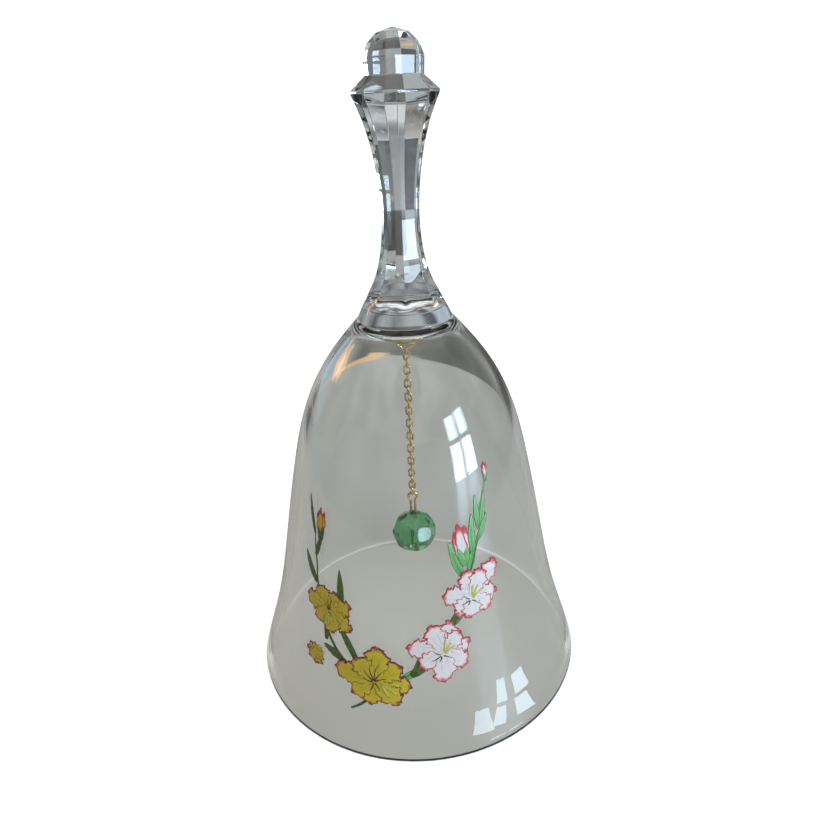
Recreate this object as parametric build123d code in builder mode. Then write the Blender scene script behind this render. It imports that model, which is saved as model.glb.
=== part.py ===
from build123d import *
from math import asin, cos, degrees, radians, sin, sqrt
import os

# Glass hand bell, mouth down, standing on its lip.
# The origin is at the middle of the mouth, +Z runs up the bell's axis to the knob. Millimetres.

# ---- driving dimensions ----
BELL_HEIGHT = 160.0       # lip to the top of the knob
MOUTH_RADIUS = 46.1       # outside of the lip
WALL = 1.9                # blown wall of the cup
LIP_ROUND = 0.8           # fire-polished corners of the lip
SEAT_Z = 99.2             # flat on the crown where the handle is bonded
SEAT_RADIUS = 11.5
CEILING_Z = 96.9          # inside of the crown
CEILING_RADIUS = 8.8
BOND_THICKNESS = 0.15     # clear adhesive film under the handle

FACETS = 8                # the handle is an octagon along its whole length
WAIST_APOTHEM = 4.05      # flats of the handle at its thinnest
COLLAR_APOTHEM = 8.8
COLLAR_Z = 148.0
COLLAR_LAND = 0.5         # blunt edge of the collar
KNOB_BASE_Z = 151.3
KNOB_APOTHEM = 5.95
KNOB_SHOULDER_Z = 154.8

CEMENT_RADIUS = 5.6       # adhesive dome that holds the eye plate to the ceiling
PLATE_RADIUS = 3.5
PLATE_Z = 94.1            # underside of the eye plate
PLATE_THICKNESS = 0.5

BAIL_WIRE = 0.3           # wire radii
LINK_WIRE = 0.25
PIN_WIRE = 0.35
BAIL_SPREAD = 2.1         # half the distance between the bail's feet
BAIL_BOTTOM_Z = 91.2      # middle of the wire at the bottom of the bail
LINKS = 23
LINK_WIDTH = 1.5          # between the middles of the wires
LINK_LENGTH = 2.39
LINK_CORNER = 0.65
HANG_GAP = 0.03           # play between two hanging wires

EYE_RADIUS = 1.2          # middle of the wire
LEG_SPREAD = 0.6          # half the distance between the pin's legs
NECK_RADIUS = 0.6         # bend between the eye and each leg
BEAD_RADIUS = 6.0
BEAD_DROP = 11.4          # middle of the eye to the middle of the bead
BORE_RADIUS = 0.97
PIN_END = 5.0             # the legs stop this far below the middle of the bead

os.makedirs("parts", exist_ok=True)


def upright(angle):
    """Vertical plane through the axis whose own X points at the angle, in degrees."""
    turn = radians(angle)
    return Plane(origin=(0, 0, 0), x_dir=(cos(turn), sin(turn), 0), z_dir=(sin(turn), -cos(turn), 0))


# ---- bell cup: one blown shell, flared at the mouth, with a flat seat on its crown ----
SILHOUETTE = [
    (MOUTH_RADIUS, 0),
    (42.3, 11),
    (39.3, 21),
    (34.4, 44),
    (30.6, 62),
    (26.5, 76.5),
    (20.6, 88),
    (SEAT_RADIUS, SEAT_Z),
]
INNER_STATIONS = 14
INNER_END = 0.95          # share of the outline that the even wall follows
CROWN_TURN = [(12.3, 95.35), (10.8, 96.4)]   # where the wall turns into the flat ceiling

with BuildPart() as bell_cup:
    with BuildSketch(Plane.XZ) as cup_section:
        with BuildLine() as cup_outline:
            outside = Spline(*SILHOUETTE)
            inside_points = [(MOUTH_RADIUS - 2.3, 0)]
            for station in range(1, INNER_STATIONS + 1):
                along = INNER_END * station / INNER_STATIONS
                point = outside @ along
                heading = outside % along
                inside_points.append((point.X - WALL * heading.Y, point.Y + WALL * heading.X))
            inside_points += [*CROWN_TURN, (CEILING_RADIUS, CEILING_Z)]
            inside = Spline(*inside_points)
            Polyline(outside @ 1, (0, SEAT_Z), (0, CEILING_Z), inside @ 1)
            Line(inside @ 0, outside @ 0)
        make_face()
        fillet(cup_section.vertices().group_by(Axis.Y)[0], radius=LIP_ROUND)
    revolve(axis=Axis.Z)
bell_cup.part.label = "bell_cup"
export_step(bell_cup.part, "parts/bell_cup.step")

# ---- bond: clear film between the crown and the handle's foot ----
with BuildPart() as foot_bond:
    with BuildSketch(Plane.XY.offset(SEAT_Z)):
        Circle(SEAT_RADIUS - 0.5)
    extrude(amount=BOND_THICKNESS)
foot_bond.part.label = "foot_bond"
export_step(foot_bond.part, "parts/foot_bond.step")

# ---- handle: four crossed slabs with one outline leave eight flats ----
FOOT_Z = SEAT_Z + BOND_THICKNESS
FLUTE = [
    (14.0, FOOT_Z),
    (10.2, 102.4),
    (7.3, 106.4),
    (4.95, 113.5),
    (WAIST_APOTHEM, 123.5),
    (4.85, 134),
    (6.9, 143),
    (COLLAR_APOTHEM, COLLAR_Z),
]

with BuildPart() as handle:
    for pair in range(FACETS // 2):
        first_slab = pair == 0
        with BuildSketch(upright((pair + 0.5) * 360 / FACETS)):
            with BuildLine():
                flute = Spline(*FLUTE)
                Polyline(
                    flute @ 1,
                    (COLLAR_APOTHEM, COLLAR_Z + COLLAR_LAND),
                    (KNOB_APOTHEM - 0.15, KNOB_BASE_Z),
                    (KNOB_APOTHEM, KNOB_SHOULDER_Z),
                )
                ThreePointArc((KNOB_APOTHEM, KNOB_SHOULDER_Z), (3.9, 158.2), (0, BELL_HEIGHT))
                Line((0, FOOT_Z), flute @ 0)
                mirror(about=Plane.YZ)
            make_face()
        extrude(amount=MOUTH_RADIUS, both=True, mode=Mode.ADD if first_slab else Mode.INTERSECT)
    # the foot is round: a turned envelope takes the facets' corners off below the neck
    with BuildSketch(Plane.XZ):
        with BuildLine():
            foot_side = Spline((SEAT_RADIUS - 0.1, FOOT_Z), (10.3, 101.7), (8.5, 105.2), (7.6, 107.6))
            Polyline(
                foot_side @ 1,
                (MOUTH_RADIUS, 112),
                (MOUTH_RADIUS, BELL_HEIGHT + 1),
                (0, BELL_HEIGHT + 1),
                (0, FOOT_Z),
                foot_side @ 0,
            )
        make_face()
    revolve(axis=Axis.Z, mode=Mode.INTERSECT)
handle.part.label = "handle"
export_step(handle.part, "parts/handle.step")

# ---- eye plate and the adhesive dome that holds it ----
PLATE_TOP_Z = PLATE_Z + PLATE_THICKNESS

with BuildPart() as eye_cement:
    with BuildSketch(Plane.XZ):
        with BuildLine():
            rim = (CEMENT_RADIUS, CEILING_Z)
            Polyline((PLATE_RADIUS, PLATE_TOP_Z), (0, PLATE_TOP_Z), (0, CEILING_Z), rim)
            ThreePointArc(rim, (4.8, 95.5), (PLATE_RADIUS, PLATE_TOP_Z))
        make_face()
    revolve(axis=Axis.Z)
eye_cement.part.label = "eye_cement"
export_step(eye_cement.part, "parts/eye_cement.step")

with BuildPart() as eye_plate:
    with BuildSketch(Plane.XY.offset(PLATE_Z)):
        Circle(PLATE_RADIUS)
    extrude(amount=PLATE_THICKNESS)
    fillet(eye_plate.edges().filter_by(GeomType.CIRCLE).group_by(Axis.Z)[0], radius=0.2)
eye_plate.part.label = "eye_plate"
export_step(eye_plate.part, "parts/eye_plate.step")

# ---- bail: a V of wire under the plate, its point a short straight for the first link ----
BAIL_CORNER = 0.5
BAIL_POINT = 0.75

with BuildPart() as bail:
    with BuildLine(Plane.XZ) as bail_path:
        FilletPolyline(
            (-BAIL_SPREAD, PLATE_Z),
            (-BAIL_SPREAD, PLATE_Z - 0.7),
            (-BAIL_POINT, BAIL_BOTTOM_Z),
            (BAIL_POINT, BAIL_BOTTOM_Z),
            (BAIL_SPREAD, PLATE_Z - 0.7),
            (BAIL_SPREAD, PLATE_Z),
            radius=BAIL_CORNER,
        )
    with BuildSketch(Plane(origin=bail_path.line @ 0, z_dir=bail_path.line % 0)):
        Circle(BAIL_WIRE)
    sweep(path=bail_path.line)
bail.part.label = "bail"
export_step(bail.part, "parts/bail.step")

# ---- chain: oval links, each turned a quarter from the one above ----
HANG = 2 * LINK_WIRE + HANG_GAP
PITCH = LINK_LENGTH - HANG
first_top_z = BAIL_BOTTOM_Z + BAIL_WIRE + LINK_WIRE + HANG_GAP
half_width = LINK_WIDTH / 2

for number in range(1, LINKS + 1):
    top_z = first_top_z - (number - 1) * PITCH
    low_z = top_z - LINK_LENGTH
    side_on = number % 2 == 1
    with BuildPart() as link:
        with BuildLine(Plane.YZ if side_on else Plane.XZ) as link_path:
            FilletPolyline(
                (half_width, top_z),
                (half_width, low_z),
                (-half_width, low_z),
                (-half_width, top_z),
                radius=LINK_CORNER,
                close=True,
            )
        with BuildSketch(Plane(origin=link_path.line @ 0, z_dir=link_path.line % 0)):
            Circle(LINK_WIRE)
        sweep(path=link_path.line)
    link.part.label = "link_" + str(number).zfill(2)
    export_step(link.part, "parts/" + link.part.label + ".step")

last_low_z = first_top_z - (LINKS - 1) * PITCH - LINK_LENGTH

# ---- split pin: a round eye on the last link, two legs sprung inside the bead's bore ----
EYE_Z = last_low_z + LINK_WIRE + PIN_WIRE + HANG_GAP - EYE_RADIUS
BEAD_Z = EYE_Z - BEAD_DROP
neck_drop = sqrt((EYE_RADIUS + NECK_RADIUS) ** 2 - (LEG_SPREAD + NECK_RADIUS) ** 2)
neck_turn = degrees(asin(neck_drop / (EYE_RADIUS + NECK_RADIUS)))

with BuildPart() as split_pin:
    with BuildLine(Plane.XZ) as pin_path:
        Line((LEG_SPREAD, BEAD_Z - PIN_END), (LEG_SPREAD, EYE_Z - neck_drop))
        CenterArc((LEG_SPREAD + NECK_RADIUS, EYE_Z - neck_drop), NECK_RADIUS, 180, -neck_turn)
        CenterArc((0, EYE_Z), EYE_RADIUS, -neck_turn, 180 + 2 * neck_turn)
        CenterArc((-LEG_SPREAD - NECK_RADIUS, EYE_Z - neck_drop), NECK_RADIUS, neck_turn, -neck_turn)
        Line((-LEG_SPREAD, EYE_Z - neck_drop), (-LEG_SPREAD, BEAD_Z - PIN_END))
    with BuildSketch(Plane.XY.offset(BEAD_Z - PIN_END)):
        with Locations((LEG_SPREAD, 0)):
            Circle(PIN_WIRE)
    sweep(path=pin_path.line)
split_pin.part.label = "split_pin"
export_step(split_pin.part, "parts/split_pin.step")

# ---- bead: a ball with four staggered rows of eight flats, drilled from pole to pole ----
BEAD_ROWS = [(19.5, 0.0), (-19.5, 0.5), (53.0, 0.5), (-53.0, 0.0)]   # latitude, share of a step
BEAD_STEP = 360 / 8
BEAD_TURN = -15.4         # how the bead happens to sit round its pin
FLAT_DISTANCE = 5.62
POLE_DISTANCE = 5.75

with BuildPart() as bead:
    with BuildSketch(Plane.XY.offset(BEAD_Z - POLE_DISTANCE)):
        Circle(BEAD_RADIUS)
    extrude(amount=2 * POLE_DISTANCE)
    for latitude, stagger in BEAD_ROWS:
        for place in range(8):
            tilt = radians(latitude)
            turn = radians((place + stagger) * BEAD_STEP + BEAD_TURN)
            facing = Vector(cos(tilt) * cos(turn), cos(tilt) * sin(turn), sin(tilt))
            middle = Vector(0, 0, BEAD_Z) + facing * FLAT_DISTANCE
            split(bisect_by=Plane(origin=middle, z_dir=facing), keep=Keep.BOTTOM)
    with Locations((0, 0, BEAD_Z + POLE_DISTANCE)):
        Hole(BORE_RADIUS, depth=2 * POLE_DISTANCE)
bead.part.label = "bead"
export_step(bead.part, "parts/bead.step")
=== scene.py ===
"""Glass hand bell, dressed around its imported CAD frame.

The cup is blown clear glass with painted flower sprays, the handle is pressed glass with eight flats, and a
green cut bead hangs inside on a fine gilt chain. Every piece rides on the CAD body that it belongs to.
Sizes are in millimetres on the classes that use them, and are turned into metres where a mesh is made.
"""

import logging
import math
import random
from dataclasses import dataclass, field
from enum import Enum
from typing import Callable, Sequence

import bmesh
import bpy
import numpy as np
from mathutils import Matrix, Vector, noise


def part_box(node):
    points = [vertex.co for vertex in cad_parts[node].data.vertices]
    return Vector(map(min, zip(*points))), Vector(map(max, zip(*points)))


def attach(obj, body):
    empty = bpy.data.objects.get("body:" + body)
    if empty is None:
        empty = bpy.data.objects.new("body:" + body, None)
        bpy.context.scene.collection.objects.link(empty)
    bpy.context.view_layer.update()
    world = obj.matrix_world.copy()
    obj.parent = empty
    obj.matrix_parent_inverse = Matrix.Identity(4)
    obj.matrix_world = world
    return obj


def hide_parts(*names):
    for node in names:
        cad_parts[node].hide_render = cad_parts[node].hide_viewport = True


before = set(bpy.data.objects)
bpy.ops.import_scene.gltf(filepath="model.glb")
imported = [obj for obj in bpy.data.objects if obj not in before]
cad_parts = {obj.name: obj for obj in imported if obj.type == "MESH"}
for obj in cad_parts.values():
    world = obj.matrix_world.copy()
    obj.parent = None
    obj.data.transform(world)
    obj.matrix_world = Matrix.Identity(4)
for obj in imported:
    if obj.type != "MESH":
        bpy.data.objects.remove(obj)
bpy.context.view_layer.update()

LOG = logging.getLogger("glass_bell")
MM = 0.001
NO_LIMIT = 99.0

LEVEL = 0.99        # least upright share of a level face's normal
TOUCH = 0.02        # how near a face is to a bonded height to count as wetted, in millimetres

Colour = tuple[float, float, float]
Point = tuple[float, float]
Socket = str | int
Stray = Callable[[float, float, float], float]


class Body(Enum):
    """The CAD bodies that are named one by one; the links are named by number."""

    BELL = "bell"
    CLAPPER = "clapper"


class Slot(Enum):
    """The record's material slots."""

    CUP = "clear_glass"
    HANDLE = "cut_glass"
    BOND = "clear_bond"
    CEMENT = "amber_bond"
    PLATE = "gilt_plate"
    WIRE = "gilt_wire"
    CHAIN = "gilt_chain"
    BEAD = "green_glass"


# ---------------------------------------------------------------- curves and meshes


def linear(colour: Colour) -> tuple[float, float, float, float]:
    """Turn a display colour, 0 to 255, into a scene-linear one.

    Args:
        colour: red, green and blue as a paint chart gives them.

    Returns:
        Linear red, green and blue with an alpha of one.
    """
    parts = [c / 255 for c in colour]
    opened = [p / 12.92 if p <= 0.04045 else ((p + 0.055) / 1.055) ** 2.4 for p in parts]
    return (opened[0], opened[1], opened[2], 1.0)


def smooth_curve(points: Sequence[Point], count: int) -> np.ndarray:
    """Sample a natural cubic curve through points, evenly by chord length.

    Args:
        points: the places that the curve passes through.
        count: how many samples to return.

    Returns:
        An array of count rows, one point each.
    """
    knots = np.array(points, float)
    chord = np.concatenate([[0.0], np.cumsum(np.linalg.norm(np.diff(knots, axis=0), axis=1))])
    gaps = np.diff(chord)
    size = len(knots)
    system = np.eye(size)
    pull = np.zeros_like(knots)
    for row in range(1, size - 1):
        system[row, row - 1 : row + 2] = gaps[row - 1], 2 * (gaps[row - 1] + gaps[row]), gaps[row]
        rise = (knots[row + 1] - knots[row]) / gaps[row]
        pull[row] = 6 * (rise - (knots[row] - knots[row - 1]) / gaps[row - 1])
    bend = np.linalg.solve(system, pull)
    places = np.linspace(0, chord[-1], count)
    span = np.clip(np.searchsorted(chord, places, side="right") - 1, 0, size - 2)
    width = gaps[span][:, None]
    near = (chord[span + 1] - places)[:, None] / width
    far = 1 - near
    bowed = (near**3 - near) * bend[span] + (far**3 - far) * bend[span + 1]
    return near * knots[span] + far * knots[span + 1] + bowed * width**2 / 6


def soften(points: Sequence[Point], radius: float, steps: int = 3) -> list[Point]:
    """Round the corners of an open outline with small arcs.

    Args:
        points: the outline's corners.
        radius: how far back from a corner its rounding starts, at most.
        steps: points in each rounding, besides its two ends.

    Returns:
        The outline with a short quadratic bend in place of each inner corner.
    """
    soft = [tuple(points[0])]
    for before, corner, after in zip(points, points[1:], points[2:]):
        here = np.array(corner, float)
        back = np.array(before, float) - here
        ahead = np.array(after, float) - here
        reach_back = min(radius, 0.4 * np.linalg.norm(back))
        reach_ahead = min(radius, 0.4 * np.linalg.norm(ahead))
        start = here + back / np.linalg.norm(back) * reach_back
        end = here + ahead / np.linalg.norm(ahead) * reach_ahead
        for step in range(steps + 2):
            t = step / (steps + 1)
            spot = (1 - t) ** 2 * start + 2 * t * (1 - t) * here + t**2 * end
            soft.append((float(spot[0]), float(spot[1])))
    soft.append(tuple(points[-1]))
    return soft


def make_mesh(
    name: str, spots: Sequence[Sequence[float]], faces: Sequence[Sequence[int]]
) -> bpy.types.Object:
    """Make an object from points in millimetres, with smooth faces that all look outwards.

    Args:
        name: the piece's name.
        spots: the points.
        faces: corner numbers of each face.

    Returns:
        The new object, linked to the scene.
    """
    mesh = bpy.data.meshes.new(name)
    mesh.from_pydata([Vector(spot) * MM for spot in spots], [], [list(face) for face in faces])
    form = bmesh.new()
    form.from_mesh(mesh)
    bmesh.ops.recalc_face_normals(form, faces=form.faces)
    form.to_mesh(mesh)
    form.free()
    mesh.polygons.foreach_set("use_smooth", [True] * len(mesh.polygons))
    mesh.update()
    piece = bpy.data.objects.new(name, mesh)
    bpy.context.scene.collection.objects.link(piece)
    return piece


def stack_rings(
    name: str, rings: Sequence[Sequence[Sequence[float]]], low_pole: bool = True, high_pole: bool = True
) -> bpy.types.Object:
    """Skin a stack of rings of equal count and close its ends with fans.

    Args:
        name: the piece's name.
        rings: rings of points in millimetres, each going round the same way.
        low_pole: close the first ring at its middle.
        high_pole: close the last ring at its middle.

    Returns:
        The new object.
    """
    around = len(rings[0])
    spots = [spot for ring in rings for spot in ring]
    faces: list[list[int]] = []
    for level in range(len(rings) - 1):
        for place in range(around):
            beside = (place + 1) % around
            low, high = level * around, (level + 1) * around
            faces.append([low + place, low + beside, high + beside, high + place])
    for wanted, level in ((low_pole, 0), (high_pole, len(rings) - 1)):
        if wanted:
            middle = [sum(axis) / around for axis in zip(*rings[level])]
            spots.append(middle)
            pole = len(spots) - 1
            first = level * around
            faces += [[first + place, first + (place + 1) % around, pole] for place in range(around)]
    return make_mesh(name, spots, faces)


def turned(
    name: str, section: Sequence[Point], around: int, stray: Stray | None = None
) -> bpy.types.Object:
    """Turn a section of radius and height about the bell's axis.

    Args:
        name: the piece's name.
        section: (radius, height) pairs from one pole to the other.
        around: points in each ring.
        stray: how far glass at a radius, angle and height strays outwards, in millimetres.

    Returns:
        The new object, a closed solid.
    """
    rings = []
    for radius, height in section:
        ring = []
        for place in range(around):
            angle = 2 * math.pi * place / around
            reach = radius + (stray(radius, angle, height) if stray else 0.0)
            ring.append((reach * math.cos(angle), reach * math.sin(angle), height))
        rings.append(ring)
    return stack_rings(name, rings)


def wire(
    name: str,
    path: Sequence[Sequence[float]],
    radius: float,
    closed: bool,
    sides: int = 16,
    ends: float = 0.0,
) -> bpy.types.Object:
    """Draw round wire along a path, keeping its section from twisting.

    Args:
        name: the piece's name.
        path: points along the wire's middle, in millimetres.
        radius: the wire's radius.
        closed: whether the wire joins its own start.
        sides: points around the wire.
        ends: how far the last ring of an open wire is drawn in, for a filed end.

    Returns:
        The new object.
    """
    line = [Vector(spot) for spot in path]
    count = len(line)
    rings = []
    side = None
    for place, spot in enumerate(line):
        ahead = line[(place + 1) % count] if closed or place < count - 1 else spot
        behind = line[place - 1] if closed or place > 0 else spot
        heading = (ahead - behind).normalized()
        if side is None:
            side = heading.orthogonal().normalized()
        side = (side - heading * side.dot(heading)).normalized()
        other = heading.cross(side)
        thick = radius - (ends if not closed and place in (0, count - 1) else 0.0)
        rings.append(
            [
                spot + side * thick * math.cos(turn) + other * thick * math.sin(turn)
                for turn in (2 * math.pi * step / sides for step in range(sides))
            ]
        )
    if not closed:
        return stack_rings(name, rings)
    spots = [corner for ring in rings for corner in ring]
    faces = []
    for level in range(count):
        here, after = level * sides, (level + 1) % count * sides
        for step in range(sides):
            beside = (step + 1) % sides
            faces.append([here + step, here + beside, after + beside, after + step])
    return make_mesh(name, spots, faces)


def wet(piece: bpy.types.Object, slot: int, heights: Sequence[float], radius: float) -> None:
    """Give the level faces that bond touches their own finish.

    Args:
        piece: the piece.
        slot: the finish's place in the piece's list.
        heights: heights of the wetted faces, in millimetres.
        radius: how far out they reach, in millimetres.
    """
    for face in piece.data.polygons:
        middle = face.center / MM
        level = abs(face.normal.z) > LEVEL and math.hypot(middle.x, middle.y) < radius
        if level and any(abs(middle.z - height) < TOUCH for height in heights):
            face.material_index = slot


def fit_out(
    piece: bpy.types.Object,
    body: str,
    finishes: Sequence[bpy.types.Material],
    stands_for: Sequence[str] = (),
) -> bpy.types.Object:
    """Give a piece its finishes, its body and the CAD nodes that it stands for.

    Args:
        piece: the finished mesh.
        body: the CAD body that it rides on.
        finishes: its materials, in slot order.
        stands_for: CAD nodes that it replaces.

    Returns:
        The same piece.
    """
    piece.data.materials.clear()
    for finish in finishes:
        piece.data.materials.append(finish)
    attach(piece, body)
    if stands_for:
        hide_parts(*stands_for)
    LOG.info("%s: %d faces on %s", piece.name, len(piece.data.polygons), body)
    return piece


# ---------------------------------------------------------------- finishes


class Bench:
    """A material being built: short calls that add nodes and join them."""

    def __init__(self, name: str) -> None:
        """Start an empty material with a principled surface.

        Args:
            name: the material's name.
        """
        self.material = bpy.data.materials.new(name)
        self.material.use_nodes = True
        self.tree = self.material.node_tree
        self.tree.nodes.clear()
        self.surface = self.node("ShaderNodeBsdfPrincipled")
        self.out = self.node("ShaderNodeOutputMaterial")
        self.join(self.surface, "BSDF", self.out, "Surface")

    def node(self, kind: str, **settings: object) -> bpy.types.Node:
        """Add a node and set its plain properties.

        Args:
            kind: the node's type.
            settings: its properties by name.

        Returns:
            The node.
        """
        made = self.tree.nodes.new(kind)
        for key, value in settings.items():
            setattr(made, key, value)
        return made

    def join(
        self, source: bpy.types.Node, output: Socket, target: bpy.types.Node, entry: Socket
    ) -> None:
        """Link one node's output to another's input."""
        self.tree.links.new(source.outputs[output], target.inputs[entry])

    def give(self, **values: object) -> None:
        """Set the surface's own sockets, with underscores for spaces."""
        for key, value in values.items():
            self.surface.inputs[key.replace("_", " ")].default_value = value

    def speckle(self, scale: float, detail: float = 3.0, rough: float = 0.55) -> bpy.types.Node:
        """Add object-space noise.

        Args:
            scale: features per metre.
            detail: octaves.
            rough: share that each octave keeps.

        Returns:
            The noise node.
        """
        place = self.node("ShaderNodeTexCoord")
        grain = self.node("ShaderNodeTexNoise")
        grain.inputs["Scale"].default_value = scale
        grain.inputs["Detail"].default_value = detail
        grain.inputs["Roughness"].default_value = rough
        self.join(place, "Object", grain, "Vector")
        return grain

    def ramp(
        self, source: bpy.types.Node, output: Socket, stops: Sequence[tuple[float, Sequence[float]]]
    ) -> bpy.types.Node:
        """Turn a value into a colour.

        Args:
            source: the node whose value is read.
            output: which of its outputs.
            stops: (place, linear colour) pairs in order.

        Returns:
            The ramp node.
        """
        chart = self.node("ShaderNodeValToRGB")
        while len(chart.color_ramp.elements) < len(stops):
            chart.color_ramp.elements.new(0.5)
        for element, (place, colour) in zip(chart.color_ramp.elements, stops):
            element.position = place
            element.color = colour
        self.join(source, output, chart, "Fac")
        return chart

    def span(
        self,
        source: bpy.types.Node,
        output: Socket,
        low: float,
        high: float,
        entry: str,
        start: float = 0.3,
        end: float = 0.7,
    ) -> None:
        """Map a noise value to a range and feed it to one of the surface's sockets.

        Args:
            source: the node whose value is read.
            output: which of its outputs.
            low: the value given at the start.
            high: the value given at the end.
            entry: the surface's socket.
            start: the noise value that gives low.
            end: the noise value that gives high.
        """
        scale = self.node("ShaderNodeMapRange")
        for key, value in (("From Min", start), ("From Max", end), ("To Min", low), ("To Max", high)):
            scale.inputs[key].default_value = value
        self.join(source, output, scale, "Value")
        self.join(scale, "Result", self.surface, entry)

    def emboss(
        self, source: bpy.types.Node, output: Socket, depth: float, strength: float = 1.0
    ) -> None:
        """Raise the surface by a value.

        Args:
            source: the node whose value is read.
            output: which of its outputs.
            depth: height of the relief, in millimetres.
            strength: how much of it shows.
        """
        bump = self.node("ShaderNodeBump")
        bump.inputs["Strength"].default_value = strength
        bump.inputs["Distance"].default_value = depth * MM
        self.join(source, output, bump, "Height")
        self.join(bump, "Normal", self.surface, "Normal")


@dataclass(frozen=True)
class Glass:
    """Transparent glass with faint handling marks.

    Attributes:
        name: the material's name.
        tint: display colour that one pass through a face leaves.
        shade: display colour in the fainter, greyer patches.
        index: refractive index.
        polish: roughness of the clean glass.
        smudge: roughness where it has been handled.
        ripple: depth of the surface's slow ripple, in millimetres.
        clouds: handling patches per metre.
        waves: ripples per metre.
    """

    name: str
    tint: Colour
    shade: Colour
    index: float = 1.5
    polish: float = 0.0
    smudge: float = 0.02
    ripple: float = 0.0
    clouds: float = 35.0
    waves: float = 60.0

    def make(self) -> bpy.types.Material:
        """Build the material.

        Returns:
            The material.
        """
        bench = Bench(self.name)
        bench.give(Transmission_Weight=1.0, IOR=self.index)
        cloud = bench.speckle(self.clouds, 4.0)
        tone = bench.ramp(cloud, "Fac", [(0.35, linear(self.tint)), (0.7, linear(self.shade))])
        bench.join(tone, "Color", bench.surface, "Base Color")
        bench.span(cloud, "Fac", self.polish, self.smudge, "Roughness", 0.52, 0.72)
        if self.ripple:
            wave = bench.speckle(self.waves, 1.0)
            bench.emboss(wave, "Fac", self.ripple)
        return bench.material


@dataclass(frozen=True)
class WettedFace:
    """A face of glass that clear bond wets, so that light runs on through it without bending.

    Attributes:
        name: the material's name.
        tint: display colour that the bond leaves.
        shade: display colour where it is thicker.
        clouds: thicker patches per metre.
    """

    name: str
    tint: Colour = (254, 254, 252)
    shade: Colour = (250, 250, 245)
    clouds: float = 120.0

    def make(self) -> bpy.types.Material:
        """Build the material.

        Returns:
            The material.
        """
        bench = Bench(self.name)
        bench.give(Transmission_Weight=1.0, IOR=1.0, Roughness=0.0)
        cloud = bench.speckle(self.clouds, 2.0)
        tone = bench.ramp(cloud, "Fac", [(0.35, linear(self.tint)), (0.7, linear(self.shade))])
        bench.join(tone, "Color", bench.surface, "Base Color")
        return bench.material


@dataclass(frozen=True)
class Gilt:
    """Gilt brass, brighter where it rubs and browner where it doesn't.

    Attributes:
        name: the material's name.
        bright: display colour of the clean metal.
        dull: display colour of the tarnish.
        gloss: roughness of the clean metal.
        wear: roughness of the tarnish.
        grain: tarnish patches per metre.
        scratch_depth: depth of the fine scratches, in millimetres.
    """

    name: str
    bright: Colour
    dull: Colour
    gloss: float = 0.18
    wear: float = 0.42
    grain: float = 900.0
    scratch_depth: float = 0.01

    def make(self) -> bpy.types.Material:
        """Build the material.

        Returns:
            The material.
        """
        bench = Bench(self.name)
        bench.give(Metallic=1.0)
        stain = bench.speckle(self.grain, 4.0, 0.6)
        tone = bench.ramp(stain, "Fac", [(0.38, linear(self.bright)), (0.66, linear(self.dull))])
        bench.join(tone, "Color", bench.surface, "Base Color")
        bench.span(stain, "Fac", self.gloss, self.wear, "Roughness", 0.38, 0.66)
        scratch = bench.speckle(self.grain * 6, 2.0)
        bench.emboss(scratch, "Fac", self.scratch_depth, 0.5)
        return bench.material


@dataclass(frozen=True)
class Enamel:
    """Fired paint whose colour follows the painter's own shading.

    Attributes:
        name: the material's name.
        stops: (shade, display colour) pairs, from the heart of a petal to its edge.
        gloss: roughness of the fired surface.
        mottle: how unevenly the brush laid it, 0 to 1.
        hairs: brush marks per metre.
        relief: height of the brush marks, in millimetres.
    """

    name: str
    stops: tuple[tuple[float, Colour], ...]
    gloss: float = 0.28
    mottle: float = 0.18
    hairs: float = 1100.0
    relief: float = 0.02

    def make(self) -> bpy.types.Material:
        """Build the material.

        Returns:
            The material.
        """
        bench = Bench(self.name)
        shade = bench.node("ShaderNodeAttribute", attribute_name="shade")
        brush = bench.speckle(self.hairs, 3.0, 0.6)
        uneven = bench.node("ShaderNodeMath", operation="MULTIPLY_ADD")
        uneven.inputs[1].default_value = self.mottle
        bench.join(brush, "Fac", uneven, 0)
        bench.join(shade, "Fac", uneven, 2)
        level = bench.node("ShaderNodeMath", operation="SUBTRACT")
        level.inputs[1].default_value = self.mottle / 2
        bench.join(uneven, "Value", level, 0)
        chart = bench.ramp(level, "Value", [(place, linear(colour)) for place, colour in self.stops])
        bench.join(chart, "Color", bench.surface, "Base Color")
        bench.span(brush, "Fac", self.gloss - 0.06, self.gloss + 0.14, "Roughness")
        bench.emboss(brush, "Fac", self.relief, 0.5)
        return bench.material


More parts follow.
